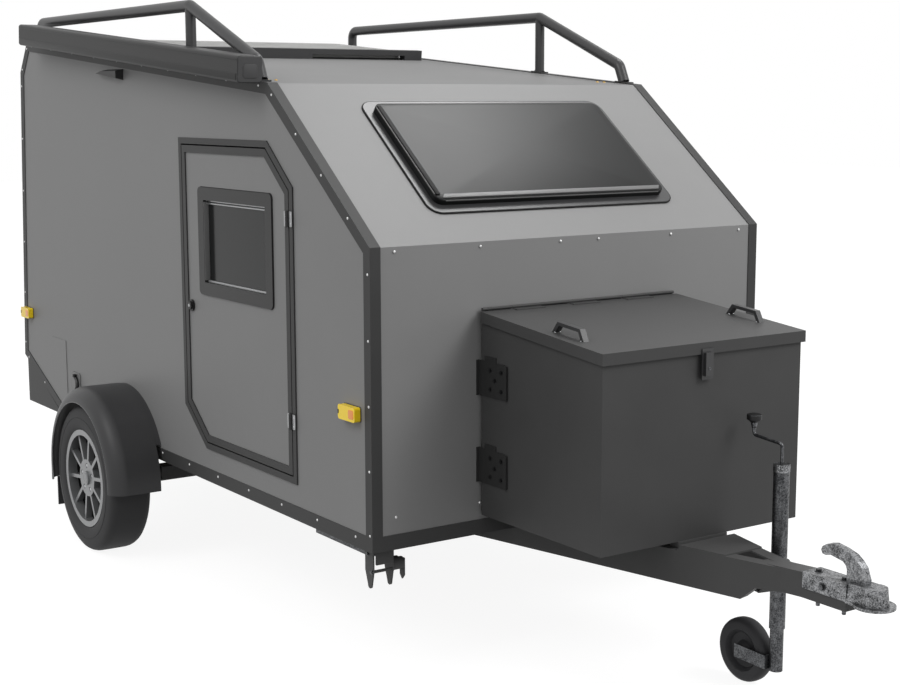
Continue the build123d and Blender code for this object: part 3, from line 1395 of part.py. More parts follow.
# Jack: outer tube with clamp and crank, inner tube, swivelling fork and wheel
jack_x = ahead(JACK_AHEAD)
with BuildPart() as jack_tube:
    with BuildSketch(Plane.XY.offset(JACK_BOTTOM_Z)):
        with Locations((jack_x, JACK_SIDE)):
            Circle(JACK_RADIUS)
            Circle(JACK_INNER_RADIUS + JACK_CLEARANCE, mode=Mode.SUBTRACT)
    extrude(amount=JACK_TOP_Z - JACK_BOTTOM_Z)
    with BuildSketch(Plane.XY.offset(JACK_TOP_Z - HEAD_WALL)):
        with Locations((jack_x, JACK_SIDE)):
            Circle(JACK_RADIUS)
    extrude(amount=HEAD_WALL)
    with BuildLine():
        crank_path = FilletPolyline(
            (jack_x, JACK_SIDE, JACK_TOP_Z - HEAD_WALL),
            (jack_x, JACK_SIDE, CRANK_TOP_Z),
            (jack_x - CRANK_ARM, JACK_SIDE, CRANK_TOP_Z + CRANK_RISE),
            (jack_x - CRANK_ARM, JACK_SIDE, KNOB_CAP_Z),
            radius=CRANK_BEND,
        )
    with BuildSketch(Plane(origin=crank_path @ 0, z_dir=crank_path % 0)):
        Circle(CRANK_RADIUS)
    sweep(path=crank_path)
    with BuildSketch(Plane.XY.offset(KNOB_NECK_Z)):
        with Locations((jack_x - CRANK_ARM, JACK_SIDE)):
            Circle(KNOB_NECK_RADIUS)
    extrude(amount=KNOB_CAP_Z - KNOB_NECK_Z, taper=-KNOB_NECK_TAPER)
    with BuildSketch(Plane.XY.offset(KNOB_CAP_Z)):
        with Locations((jack_x - CRANK_ARM, JACK_SIDE)):
            Circle(KNOB_RADIUS)
    extrude(amount=KNOB_TOP_Z - KNOB_CAP_Z)
    with BuildSketch(Plane.XY.offset(CLAMP_Z - CLAMP_HEIGHT / 2)):
        with BuildLine():
            Polyline(
                (jack_x - CLAMP_HALF, JACK_SIDE),
                (jack_x - CLAMP_HALF, arm_half(JACK_AHEAD - CLAMP_HALF) + SEAT_GAP),
                (jack_x + CLAMP_HALF, arm_half(JACK_AHEAD + CLAMP_HALF) + SEAT_GAP),
                (jack_x + CLAMP_HALF, JACK_SIDE),
                close=True,
            )
        make_face()
        with Locations((jack_x, JACK_SIDE)):
            Circle(JACK_RADIUS + CLAMP_RING)
            Circle(JACK_RADIUS - 1, mode=Mode.SUBTRACT)
    extrude(amount=CLAMP_HEIGHT)
write(jack_tube.part, "jack_tube")

with BuildPart() as jack_inner_tube:
    with BuildSketch(Plane.XY.offset(SWIVEL_Z + SWIVEL_GAP)):
        with Locations((jack_x, JACK_SIDE)):
            Circle(JACK_INNER_RADIUS)
            Circle(JACK_INNER_RADIUS - 3, mode=Mode.SUBTRACT)
    extrude(amount=JACK_INNER_TOP_Z - SWIVEL_Z - SWIVEL_GAP)
write(jack_inner_tube.part, "jack_inner_tube")

jockey_x = jack_x - JOCKEY_TRAIL
fork_half = JOCKEY_WIDTH / 2 + FORK_GAP
web_x = jack_x - FORK_WEB_BACK
with BuildPart() as jockey_fork:
    with BuildSketch(Plane.XY.offset(FORK_BOTTOM_Z)):
        with Locations((jack_x, JACK_SIDE)):
            Circle(JACK_INNER_RADIUS)
    extrude(amount=SWIVEL_Z - FORK_BOTTOM_Z)
    for plate_y in (-fork_half, fork_half + FORK_PLATE_THICK):
        with BuildSketch(side_plane(JACK_SIDE + plate_y)):
            with BuildLine():
                Polyline(
                    (web_x + FORK_WEB_THICK / 2, FORK_BOTTOM_Z + FORK_WEB_THICK),
                    (web_x + FORK_WEB_THICK / 2, FORK_BOTTOM_Z + FORK_WEB_THICK + FORK_PLATE_HEIGHT),
                    (jockey_x - FORK_WEB_BACK, JOCKEY_RADIUS + FORK_PLATE_HEIGHT / 2),
                    (jockey_x - FORK_WEB_BACK, JOCKEY_RADIUS - FORK_PLATE_HEIGHT / 2),
                    close=True,
                )
            make_face()
        extrude(amount=FORK_PLATE_THICK)
    with BuildSketch(Plane.XY.offset(FORK_BOTTOM_Z + FORK_WEB_THICK)):
        with Locations((web_x, JACK_SIDE)):
            Rectangle(FORK_WEB_THICK, 2 * (fork_half + FORK_PLATE_THICK))
    extrude(amount=FORK_PLATE_HEIGHT)
    with BuildSketch(side_plane(JACK_SIDE + fork_half + FORK_PLATE_THICK)):
        with Locations((jockey_x, JOCKEY_RADIUS)):
            Circle(JOCKEY_AXLE_RADIUS)
    extrude(amount=2 * (fork_half + FORK_PLATE_THICK))
write(jockey_fork.part, "jockey_fork")

with BuildPart() as jockey_wheel:
    with BuildSketch(side_plane(JACK_SIDE + JOCKEY_WIDTH / 2)):
        with Locations((jockey_x, JOCKEY_RADIUS)):
            Circle(JOCKEY_RADIUS)
            Circle(JOCKEY_AXLE_RADIUS + PIN_CLEARANCE / 2, mode=Mode.SUBTRACT)
    extrude(amount=JOCKEY_WIDTH)
    for recess_y in (JACK_SIDE + JOCKEY_WIDTH / 2, JACK_SIDE - JOCKEY_WIDTH / 2 + 12):
        with BuildSketch(side_plane(recess_y)):
            with Locations((jockey_x, JOCKEY_RADIUS)):
                Circle(JOCKEY_RADIUS * 0.55)
                Circle(JOCKEY_RADIUS * 0.24, mode=Mode.SUBTRACT)
        extrude(amount=12, mode=Mode.SUBTRACT)
write(jockey_wheel.part, "jockey_wheel")

# Corner steadies: brackets under the floor's corners and folding legs
pivot_z = FLOOR_Z - STEADY_PIVOT_DROP
stop_z = FLOOR_Z - STEADY_STOP_DROP
tip_z = FLOOR_Z - STEADY_DROP + STEADY_TIP_RADIUS
plate_span = STEADY_PLATE_GAP + 2 * STEADY_PLATE_THICK
bracket_side = side_plane(-(STEADY_SIDE - plate_span / 2))

# Name and place of each steady: distance back, and the way that its leg is stowed
STEADIES = [
    ("front", STEADY_BACKS[0], -1),
    ("rear", STEADY_BACKS[1], 1),
]
with BuildPart() as steady_brackets:
    for end_name, steady_back, way in STEADIES:
        hinge_at = back(steady_back)
        for cheek in (0, plate_span - STEADY_PLATE_THICK):
            with BuildSketch(bracket_side.offset(cheek)):
                with BuildLine():
                    Polyline(
                        (hinge_at - way * STEADY_PLATE_FRONT, FLOOR_Z),
                        (hinge_at + way * STEADY_PLATE_REAR, FLOOR_Z),
                        (hinge_at + way * STEADY_PLATE_REAR, tip_z + STEADY_SHOULDER),
                        (hinge_at + way * 0, tip_z),
                        (hinge_at - way * 2 * STEADY_TIP_RADIUS, tip_z),
                        (hinge_at - way * STEADY_PLATE_FRONT, tip_z + STEADY_SHOULDER),
                        close=True,
                    )
                make_face()
                with Locations((hinge_at - way * STEADY_TIP_RADIUS, tip_z)):
                    Circle(STEADY_TIP_RADIUS)
            extrude(amount=STEADY_PLATE_THICK)
        with BuildSketch(bracket_side):
            with Locations((hinge_at - way * (STEADY_PLATE_FRONT - STEADY_PLATE_REAR) / 2,
                            FLOOR_Z - STEADY_TOP_THICK / 2)):
                Rectangle(STEADY_PLATE_FRONT + STEADY_PLATE_REAR, STEADY_TOP_THICK)
            with Locations((hinge_at, pivot_z)):
                Circle(STEADY_PIN_RADIUS)
            with Locations((hinge_at - way * STEADY_STOP_FRONT, stop_z)):
                Circle(STEADY_PIN_RADIUS)
        extrude(amount=plate_span)
        with BuildSketch(bracket_side):
            with Locations((hinge_at - way * STEADY_TIP_RADIUS, stop_z + STEADY_BOSS_RISE)):
                Circle(STEADY_BOSS_RADIUS)
        extrude(amount=-STEADY_BOSS_LENGTH)
        handle_x = hinge_at - way * STEADY_TIP_RADIUS
        handle_top = stop_z + STEADY_HANDLE_RISE
        handle_foot_z = handle_top - STEADY_HANDLE_DROP
        with BuildSketch(bracket_side.offset(-STEADY_BOSS_LENGTH)):
            with BuildLine():
                Polyline(
                    (handle_x + STEADY_HANDLE_WIDTH / 2, handle_top),
                    (handle_x - STEADY_HANDLE_WIDTH / 2, handle_top),
                    (handle_x - STEADY_HANDLE_WIDTH / 2, handle_foot_z + STEADY_HANDLE_POINT),
                    (handle_x, handle_foot_z),
                    (handle_x + STEADY_HANDLE_WIDTH / 2, handle_foot_z + STEADY_HANDLE_POINT),
                    close=True,
                )
            make_face()
        extrude(amount=-STEADY_HANDLE_THICK)
    packing_y = -(STEADY_SIDE - STEADY_PACKING_GAP)
    with BuildSketch(Plane.XY.offset(FLOOR_Z)):
        with Locations(*[(back(steady_back), packing_y) for steady_back in STEADY_BACKS]):
            Rectangle(STEADY_PLATE_FRONT, plate_span - 2 * STEADY_PACKING_GAP)
    extrude(amount=floor_under_z - FLOOR_Z)
write_pair(steady_brackets.part, "steady_brackets")

for end_name, steady_back, way in STEADIES:
    for side_name, side in (("right", -1), ("left", 1)):
        hinge_at = back(steady_back)
        leg_side = side_plane(side * STEADY_SIDE + LEG_WIDTH / 2)
        with BuildPart() as leg:
            with BuildSketch(leg_side):
                with Locations((hinge_at + way * LEG_LENGTH / 2, pivot_z)):
                    Rectangle(LEG_LENGTH, LEG_HEIGHT)
                with Locations((hinge_at, pivot_z)):
                    Circle(LEG_HEIGHT / 2)
            extrude(amount=LEG_WIDTH)
            with BuildSketch(Plane.XY.offset(pivot_z - LEG_HEIGHT / 2 + LEG_WALL)):
                with Locations((hinge_at + way * (LEG_LENGTH + LEG_HEIGHT) / 2,
                                side * STEADY_SIDE)):
                    Rectangle(LEG_LENGTH - LEG_HEIGHT - FOOT_LENGTH / 2,
                              LEG_WIDTH - 2 * LEG_WALL)
            extrude(amount=LEG_HEIGHT, mode=Mode.SUBTRACT)
            with BuildSketch(leg_side):
                with Locations((hinge_at, pivot_z)):
                    Circle(STEADY_PIN_RADIUS + PIN_CLEARANCE)
            extrude(amount=LEG_WIDTH, mode=Mode.SUBTRACT)
        write(leg.part, f"steady_leg_{end_name}_{side_name}")

# Mattress on the cabin floor
with BuildPart() as mattress:
    with BuildSketch(Plane.XY.offset(cabin_floor_z + SEAT_GAP)):
        with Locations((CABIN_OUTLINE[0][0] - MATTRESS_GAP - MATTRESS_LENGTH / 2, 0)):
            RectangleRounded(MATTRESS_LENGTH, 2 * (CABIN - MATTRESS_GAP), 30)
    extrude(amount=MATTRESS_THICK)
write(mattress.part, "mattress")
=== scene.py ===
"""Dresses a small angular caravan, parked on its jockey wheel, for a plain studio picture."""

import logging
import math
from abc import ABC, abstractmethod
from dataclasses import dataclass
from enum import Enum
from typing import Iterable, Optional, Sequence

import bmesh
import bpy
from mathutils import Matrix, Vector


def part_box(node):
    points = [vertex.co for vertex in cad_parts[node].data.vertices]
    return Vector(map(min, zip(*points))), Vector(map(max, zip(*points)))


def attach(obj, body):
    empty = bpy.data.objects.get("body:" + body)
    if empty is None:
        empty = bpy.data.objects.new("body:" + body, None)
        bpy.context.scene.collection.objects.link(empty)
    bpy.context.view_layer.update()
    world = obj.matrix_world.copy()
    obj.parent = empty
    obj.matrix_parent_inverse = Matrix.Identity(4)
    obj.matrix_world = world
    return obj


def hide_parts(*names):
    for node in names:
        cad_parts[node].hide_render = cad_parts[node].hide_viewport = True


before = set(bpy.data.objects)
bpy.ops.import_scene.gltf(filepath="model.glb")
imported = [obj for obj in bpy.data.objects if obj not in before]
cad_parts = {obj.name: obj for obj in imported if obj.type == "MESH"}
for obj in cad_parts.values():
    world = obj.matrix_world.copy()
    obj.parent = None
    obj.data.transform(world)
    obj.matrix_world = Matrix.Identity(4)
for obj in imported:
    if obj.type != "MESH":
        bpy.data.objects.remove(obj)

LOG = logging.getLogger("caravan")
MM = 0.001
# Where the front wall's face and the side walls' faces lie, in the frame's millimetres.
FRONT_MM = 869.5
SKIN_MM = 797.0
# Where the digits of red, green and blue start in a hex colour.
CHANNEL_STARTS = (1, 3, 5)
# Edges of a fastener's head that turn more than this stay sharp.
SHARP_HEAD_DEG = 40


def linear(hex_colour: str) -> tuple[float, float, float, float]:
    """Turns an sRGB hex colour into linear light.

    Args:
        hex_colour: Six hex digits with a leading hash.

    Returns:
        Red, green, blue and an alpha of 1.
    """
    values = [int(hex_colour[i:i + 2], 16) / 255 for i in CHANNEL_STARTS]
    curved = [v / 12.92 if v <= 0.04045 else ((v + 0.055) / 1.055) ** 2.4 for v in values]
    return (*curved, 1.0)


def add_node(
    tree: bpy.types.NodeTree,
    kind: str,
    settings: Optional[dict[str, object]] = None,
    links: Optional[dict[object, object]] = None,
) -> bpy.types.Node:
    """Adds one node with its settings and links.

    Args:
        tree: The node tree that gets the node.
        kind: The node's type name.
        settings: Values by property name, or by "in:" and an input's name or number.
        links: Sockets to link from, by the new node's input name or number.

    Returns:
        The new node.
    """
    node = tree.nodes.new(kind)
    for key, value in (settings or {}).items():
        if key.startswith("in:"):
            name = key[3:]
            node.inputs[int(name) if name.isdigit() else name].default_value = value
        else:
            setattr(node, key, value)
    for key, socket in (links or {}).items():
        tree.links.new(socket, node.inputs[key])
    return node


def new_material(name: str) -> tuple[bpy.types.Material, bpy.types.NodeTree, bpy.types.Node]:
    """Makes an empty material with a Principled shader linked to its output.

    Args:
        name: The material's name.

    Returns:
        The material, its tree and the shader node.
    """
    material = bpy.data.materials.new(name)
    material.use_nodes = True
    tree = material.node_tree
    tree.nodes.clear()
    shader = add_node(tree, "ShaderNodeBsdfPrincipled")
    add_node(tree, "ShaderNodeOutputMaterial", links={"Surface": shader.outputs["BSDF"]})
    return material, tree, shader


class Grain(Enum):
    """How fine a surface's texture is, as the size of one bump in millimetres."""

    POWDER = 1.6
    MOULDED = 2.4
    CAST = 1.2
    WEAVE = 1.8


class Surface(ABC):
    """A finish, which makes its material once.

    Attributes:
        name: What the finish is, and the material's name.
    """

    name: str

    def material(self) -> bpy.types.Material:
        """Returns the material, built when it is first asked for."""
        return bpy.data.materials.get(self.name) or self.build()

    @abstractmethod
    def build(self) -> bpy.types.Material:
        """Builds the material."""


@dataclass(frozen=True)
class Finish(Surface):
    """A coated, moulded or cast surface with fine texture and slow changes of tone.

    Attributes:
        name: What the finish is.
        colour: Its middle tone.
        other: The tone that it drifts to.
        roughness: Roughness of the middle tone.
        spread: How far the roughness wanders.
        metallic: 1 for bare metal.
        ior: Index of refraction of what isn't metal.
        specular: Strength of its surface reflection, 0.5 for a plain one.
        grain: Size of the texture.
        bump_mm: Height of the texture.
        drift_mm: Size of the slow changes in tone.
        coat: Weight of a clear layer.
        coat_roughness: Roughness of that layer.
    """

    name: str
    colour: str
    other: str
    roughness: float
    spread: float = 0.05
    metallic: float = 0.0
    ior: float = 1.5
    specular: float = 0.5
    grain: Grain = Grain.POWDER
    bump_mm: float = 0.02
    drift_mm: float = 400.0
    coat: float = 0.0
    coat_roughness: float = 0.12

    def build(self) -> bpy.types.Material:
        """Builds the material.

        Returns:
            The new material.
        """
        material, tree, shader = new_material(self.name)
        place = add_node(tree, "ShaderNodeTexCoord").outputs["Object"]
        drift = add_node(
            tree, "ShaderNodeTexNoise",
            {"in:Scale": 1 / (self.drift_mm * MM), "in:Detail": 5.0, "in:Roughness": 0.6},
            {"Vector": place},
        )
        share = add_node(tree, "ShaderNodeMapRange", {"in:1": 0.3, "in:2": 0.7}, {0: drift.outputs["Fac"]})
        tone = add_node(
            tree, "ShaderNodeMix",
            {"data_type": "RGBA", "in:6": linear(self.colour), "in:7": linear(self.other)},
            {0: share.outputs[0]},
        )
        grain = add_node(
            tree, "ShaderNodeTexNoise",
            {"in:Scale": 1 / (self.grain.value * MM), "in:Detail": 2.0},
            {"Vector": place},
        )
        rough = add_node(
            tree, "ShaderNodeMapRange",
            {"in:3": self.roughness - self.spread, "in:4": self.roughness + self.spread},
            {0: drift.outputs["Fac"]},
        )
        bump = add_node(
            tree, "ShaderNodeBump",
            {"in:Strength": 0.5, "in:Distance": self.bump_mm * MM},
            {"Height": grain.outputs["Fac"]},
        )
        shader.inputs["Metallic"].default_value = self.metallic
        if self.metallic < 0.5:
            shader.inputs["IOR"].default_value = self.ior
        shader.inputs["Specular IOR Level"].default_value = self.specular
        shader.inputs["Coat Weight"].default_value = self.coat
        shader.inputs["Coat Roughness"].default_value = self.coat_roughness
        tree.links.new(tone.outputs[2], shader.inputs["Base Color"])
        tree.links.new(rough.outputs[0], shader.inputs["Roughness"])
        tree.links.new(bump.outputs["Normal"], shader.inputs["Normal"])
        return material


@dataclass(frozen=True)
class Galvanised(Surface):
    """Hot-dipped zinc: crystals of uneven tone over steel, dull where they have aged.

    Attributes:
        name: What the finish is.
        bright: Tone of the brightest crystals.
        dark: Tone of the aged ones.
        spangle_mm: Size of a crystal, drawn fine so that the tubes don't look blotched.
        cloud_mm: Size of the aged patches.
        dull: Roughness of the aged crystals.
        clean: Roughness of the bright ones.
    """

    name: str
    bright: str
    dark: str
    spangle_mm: float = 3.0
    cloud_mm: float = 26.0
    dull: float = 0.5
    clean: float = 0.32

    def build(self) -> bpy.types.Material:
        """Builds the material.

        Returns:
            The new material.
        """
        material, tree, shader = new_material(self.name)
        place = add_node(tree, "ShaderNodeTexCoord").outputs["Object"]
        cells = add_node(
            tree, "ShaderNodeTexVoronoi", {"in:Scale": 1 / (self.spangle_mm * MM)}, {"Vector": place}
        )
        cloud = add_node(
            tree, "ShaderNodeTexNoise",
            {"in:Scale": 1 / (self.cloud_mm * MM), "in:Detail": 5.0, "in:Roughness": 0.65},
            {"Vector": place},
        )
        both = add_node(
            tree, "ShaderNodeMix", {"data_type": "FLOAT", "in:0": 0.6},
            {2: cells.outputs["Color"], 3: cloud.outputs["Fac"]},
        )
        contrast = add_node(
            tree, "ShaderNodeMapRange", {"in:1": 0.32, "in:2": 0.68}, {0: both.outputs[0]}
        )
        tone = add_node(
            tree, "ShaderNodeMix",
            {"data_type": "RGBA", "in:6": linear(self.dark), "in:7": linear(self.bright)},
            {0: contrast.outputs[0]},
        )
        rough = add_node(
            tree, "ShaderNodeMapRange", {"in:3": self.dull, "in:4": self.clean}, {0: contrast.outputs[0]}
        )
        bump = add_node(
            tree, "ShaderNodeBump", {"in:Strength": 0.3, "in:Distance": 0.25 * MM},
            {"Height": cloud.outputs["Fac"]},
        )
        shader.inputs["Metallic"].default_value = 1.0
        tree.links.new(tone.outputs[2], shader.inputs["Base Color"])
        tree.links.new(rough.outputs[0], shader.inputs["Roughness"])
        tree.links.new(bump.outputs["Normal"], shader.inputs["Normal"])
        return material


@dataclass(frozen=True)
class TintedPane(Surface):
    """Smoke-tinted acrylic, see-through where it is thin.

    Attributes:
        name: What the pane is.
        colour: Its tint.
        through: How much light it lets through.
        roughness: Roughness where it is cleanest.
        smear: How much rougher it is where it was wiped.
        smear_mm: Size of the wiped patches.
        specular: Strength of its surface reflection.
    """

    name: str
    colour: str
    through: float
    roughness: float
    smear: float = 0.06
    smear_mm: float = 180.0
    specular: float = 0.15

    def build(self) -> bpy.types.Material:
        """Builds the material.

        Returns:
            The new material.
        """
        material, tree, shader = new_material(self.name)
        place = add_node(tree, "ShaderNodeTexCoord").outputs["Object"]
        smear = add_node(
            tree, "ShaderNodeTexNoise", {"in:Scale": 1 / (self.smear_mm * MM), "in:Detail": 3.0},
            {"Vector": place},
        )
        rough = add_node(
            tree, "ShaderNodeMapRange",
            {"in:3": self.roughness, "in:4": self.roughness + self.smear},
            {0: smear.outputs["Fac"]},
        )
        shader.inputs["Base Color"].default_value = linear(self.colour)
        shader.inputs["IOR"].default_value = 1.49
        shader.inputs["Transmission Weight"].default_value = self.through
        shader.inputs["Specular IOR Level"].default_value = self.specular
        tree.links.new(rough.outputs[0], shader.inputs["Roughness"])
        return material


@dataclass(frozen=True)
class MattressCloth(Surface):
    """Woven polyester ticking: crossing threads that catch the light, with a soft sheen.

    Attributes:
        name: What the cloth is.
        light: Tone of a raised thread.
        dark: Tone between the threads.
        thread_mm: Spacing of the threads, drawn coarser than the real 0.6 so that it shows.
    """

    name: str = "woven_polyester_ticking"
    light: str = "#a8a399"
    dark: str = "#857f75"
    thread_mm: float = 3.0

    def build(self) -> bpy.types.Material:
        """Builds the material.

        Returns:
            The new material.
        """
        material, tree, shader = new_material(self.name)
        place = add_node(tree, "ShaderNodeTexCoord").outputs["Object"]
        across = [
            add_node(
                tree, "ShaderNodeTexWave",
                {"bands_direction": way, "in:Scale": 0.314 / (self.thread_mm * MM), "in:Distortion": 0.4},
                {"Vector": place},
            ).outputs["Fac"]
            for way in ("X", "Y")
        ]
        weave = add_node(tree, "ShaderNodeMath", {"operation": "MULTIPLY"}, {0: across[0], 1: across[1]})
        tone = add_node(
            tree, "ShaderNodeMix",
            {"data_type": "RGBA", "in:6": linear(self.dark), "in:7": linear(self.light)},
            {0: weave.outputs[0]},
        )
        bump = add_node(
            tree, "ShaderNodeBump", {"in:Strength": 0.4, "in:Distance": 0.4 * MM},
            {"Height": weave.outputs[0]},
        )
        shader.inputs["Roughness"].default_value = 0.9
        shader.inputs["Sheen Weight"].default_value = 0.25
        tree.links.new(tone.outputs[2], shader.inputs["Base Color"])
        tree.links.new(bump.outputs["Normal"], shader.inputs["Normal"])
        return material


# Fibre-reinforced plastic sheet, satin from the mould: a soft, even sheen on wide flat panels.
# The roof's is duller from the weather, and so hardly mirrors the sky.
PANEL_SKIN = Finish("satin_grp_panel_skin", "#7f7f7f", "#848484", 0.45, specular=0.2,
                    drift_mm=900, bump_mm=0.01)
ROOF_SKIN = Finish("dulled_grp_roof_skin", "#767676", "#7d7d7d", 0.55, specular=0.08, drift_mm=700,
                   bump_mm=0.01)
DOOR_SKIN = Finish("satin_grp_door_skin", "#7d7d7d", "#828282", 0.45, specular=0.2,
                   drift_mm=700, bump_mm=0.01)
# Sealed birch plywood: brown, with slow changes along the sheet.
FLOOR_BOARD = Finish("sealed_birch_plywood", "#4c443b", "#5a5046", 0.6, drift_mm=120)
# Powder coats over folded metal: fine orange-peel texture that softens the highlights.
DARK_TRIM = Finish("graphite_powder_coat", "#373737", "#3c3c3c", 0.5, specular=0.2)
FRAME_COAT = Finish("slate_powder_coat", "#343434", "#393939", 0.46, specular=0.2)
AWNING_COAT = Finish("anthracite_powder_coat", "#2b2b2b", "#303030", 0.45, specular=0.2)
RAIL_COAT = Finish("black_powder_coat", "#29292a", "#303031", 0.38, specular=0.5)
BOX_COAT = Finish("dark_grey_box_powder_coat", "#3e3e3e", "#434343", 0.5, drift_mm=300, specular=0.2)
BRACKET_COAT = Finish("black_bracket_powder_coat", "#2a2a2a", "#303030", 0.5, specular=0.2)
CHASSIS_COAT = Finish("iron_grey_chassis_paint", "#464646", "#4e4e4e", 0.5, specular=0.2)
STAY_RAIL = Finish("black_stay_rail", "#0e0e0e", "#131313", 0.5, specular=0.15)
RAIL_FACE = Finish("grey_window_rail_extrusion", "#5a5a5a", "#626262", 0.4)
# Near-black liner and disc inside the rims: painted shade behind the spokes.
RIM_PAINTED_SHADE = Finish("rim_interior_painted_shade", "#0e0e0e", "#141414", 0.6, specular=0.2)
# Moulded plastics: duller than paint, with a slightly pebbled face.
BLACK_ABS = Finish("black_abs_moulding", "#141415", "#1a1a1b", 0.42, grain=Grain.MOULDED, ior=1.53,
                   specular=0.25)
WINDOW_ABS = Finish("charcoal_abs_window_frame", "#2b2b2b", "#303030", 0.4, grain=Grain.MOULDED,
                    ior=1.53, specular=0.2, bump_mm=0.01)
GUARD_ABS = Finish("dark_grey_pe_mudguard", "#373738", "#3e3e3f", 0.42, specular=0.3,
                   grain=Grain.MOULDED, bump_mm=0.05)
LID_ABS = Finish("grey_asa_roof_lid", "#8a8a89", "#949492", 0.45, grain=Grain.MOULDED)
SEAL_RUBBER = Finish("black_epdm_seal", "#0c0c0c", "#111111", 0.6, grain=Grain.MOULDED, specular=0.2)
REVEAL_ABS = Finish("grey_window_reveal", "#747474", "#7a7a7a", 0.5, grain=Grain.MOULDED)
INLET_ABS = Finish("grey_power_inlet_moulding", "#6a6a6a", "#707070", 0.45, grain=Grain.MOULDED)
END_CAP_ABS = Finish("dark_awning_end_cap", "#2a2a2b", "#303031", 0.45, grain=Grain.MOULDED)
# The mudguard's rolled edge, its pale tone a painted highlight along the edge.
GUARD_EDGE_HIGHLIGHT = Finish("mudguard_edge_painted_highlight", "#808081", "#8a8a8b", 0.4, grain=Grain.MOULDED)
# Painted cast alloy: a dull silver with a faint casting skin.
CAST_ALLOY = Finish("silver_grey_painted_cast_alloy", "#828384", "#8e8f90", 0.34, metallic=0.55,
                    grain=Grain.CAST)
# Rubber: matt and dark, drifting a little in tone.
TYRE_RUBBER = Finish("black_tyre_rubber", "#313132", "#3a3a3b", 0.7, grain=Grain.MOULDED,
                     bump_mm=0.06, ior=1.52, specular=0.3)
JOCKEY_RUBBER = Finish("grey_solid_rubber", "#28282a", "#303032", 0.66, grain=Grain.MOULDED,
                       specular=0.35)
# Clear-moulded lenses: deep colour under a glossy face.
AMBER_LENS = Finish("amber_pmma_lens", "#ffd60a", "#ffde20", 0.25, ior=1.49, coat=0.1)
ORANGE_LENS = Finish("orange_pmma_reflector", "#f08a10", "#f4941a", 0.22, ior=1.49, coat=0.4)
RED_LENS = Finish("red_pmma_lens", "#9a100d", "#a81812", 0.18, ior=1.49, coat=0.5)
CLEAR_LENS = Finish("frosted_clear_pmma_lens", "#c9cac8", "#d3d4d2", 0.25, ior=1.49, coat=0.4)
# Plated and bare metals: bright edges and small clear highlights. The rivets are half dulled.
TRIM_RIVET = Finish("bright_aluminium_rivet", "#d2d2d2", "#dcdcdc", 0.3, metallic=0.4)
BRIGHT_ZINC = Finish("bright_zinc_plated_steel", "#a9aaac", "#c4c5c7", 0.3, metallic=1.0,
                     grain=Grain.CAST)
PASSIVATED = Finish("yellow_passivated_zinc_screw", "#b08a3c", "#c49c4a", 0.32, metallic=1.0,
                    grain=Grain.CAST)
ANODISED = Finish("satin_anodised_aluminium", "#a2a3a4", "#adaeaf", 0.36, metallic=0.5,
                  grain=Grain.CAST)
GALVANISED = Galvanised("hot_dip_galvanised_steel", "#9c9d9f", "#2f3031")
JACK_ZINC = Galvanised("aged_galvanised_jack_tube", "#696a6c", "#2c2d2f")
# Window acrylic: smoky and a little see-through at the sides, near black over the slope's frame.
SMOKED_PANE = TintedPane("smoke_tinted_acrylic_pane", "#202121", 0.16, 0.14)
DARK_PANE = Finish("near_black_acrylic_pane", "#0b0c0c", "#0f1010", 0.29, spread=0.02, ior=1.49,
                   specular=0.18, bump_mm=0.0, drift_mm=300)
FRAME_GLOSS = Finish("gloss_black_window_frame", "#2e2e2f", "#343435", 0.3, spread=0.02, bump_mm=0.0,
                     ior=1.53)
# The mattress: a pale woven cover with darker cotton piping sewn round its edge.
TICKING = MattressCloth()
PIPING = Finish("twisted_cotton_piping", "#6f6a62", "#7b766d", 0.85, grain=Grain.WEAVE, bump_mm=0.3)


def add_object(name: str, data: bpy.types.ID) -> bpy.types.Object:
    """Makes an object that shows some data, and links it to the scene.

    Args:
        name: The object's name.
        data: A mesh, lamp or camera.

    Returns:
        The new object.
    """
    made = bpy.data.objects.new(name, data)
    bpy.context.collection.objects.link(made)
    return made


def finish_piece(piece: bpy.types.Object, body: str, slot: str, *nodes: str) -> bpy.types.Object:
    """Puts a piece on its body and hides the CAD nodes that it replaces.

    Args:
        piece: The piece.
        body: The body that carries it.
        slot: Not used.
        *nodes: CAD nodes that it replaces.

    Returns:
        The piece.
    """
    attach(piece, body)
    if nodes:
        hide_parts(*nodes)
    LOG.info("%s rides on %s", piece.name, body)
    return piece


def dress(nodes: Iterable[str], finish: Surface) -> None:
    """Gives CAD nodes their finish.

    Args:
        nodes: The nodes' names.
        finish: What they are finished in.
    """
    for node in nodes:
        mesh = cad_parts[node].data
        mesh.materials.clear()
        mesh.materials.append(finish.material())


def back(distance_mm: float) -> float:
    """X in metres of a place this far behind the front wall."""
    return (FRONT_MM - distance_mm) * MM


def ahead(distance_mm: float) -> float:
    """X in metres of a place this far ahead of the front wall."""
    return (FRONT_MM + distance_mm) * MM


@dataclass(frozen=True)
class Seat:
    """A flat place that a piece is built on: where it is, and its directions along and up.

    Attributes:
        at: Its middle, in metres.
        along: Unit direction of the first coordinate.
        up: Unit direction of the second coordinate.
    """

    at: Vector
    along: Vector
    up: Vector

    @property
    def out(self) -> Vector:
        """The direction that the place faces."""
        return self.along.cross(self.up)

    def point(self, u: float, v: float, w: float = 0.0) -> Vector:
        """A point from millimetres along, up and out."""
        return self.at + (self.along * u + self.up * v + self.out * w) * MM

    def moved(self, u: float, v: float, w: float = 0.0) -> "Seat":
        """The same seat, moved by millimetres along, up and out."""
        return Seat(self.point(u, v, w), self.along, self.up)


def right_wall(back_mm: float, z_mm: float, proud_mm: float = 0.0) -> Seat:
    """A seat on the right wall's skin, facing out, its first coordinate forward."""
    return Seat(Vector((back(back_mm), -(SKIN_MM + proud_mm) * MM, z_mm * MM)),
                Vector((1, 0, 0)), Vector((0, 0, 1)))


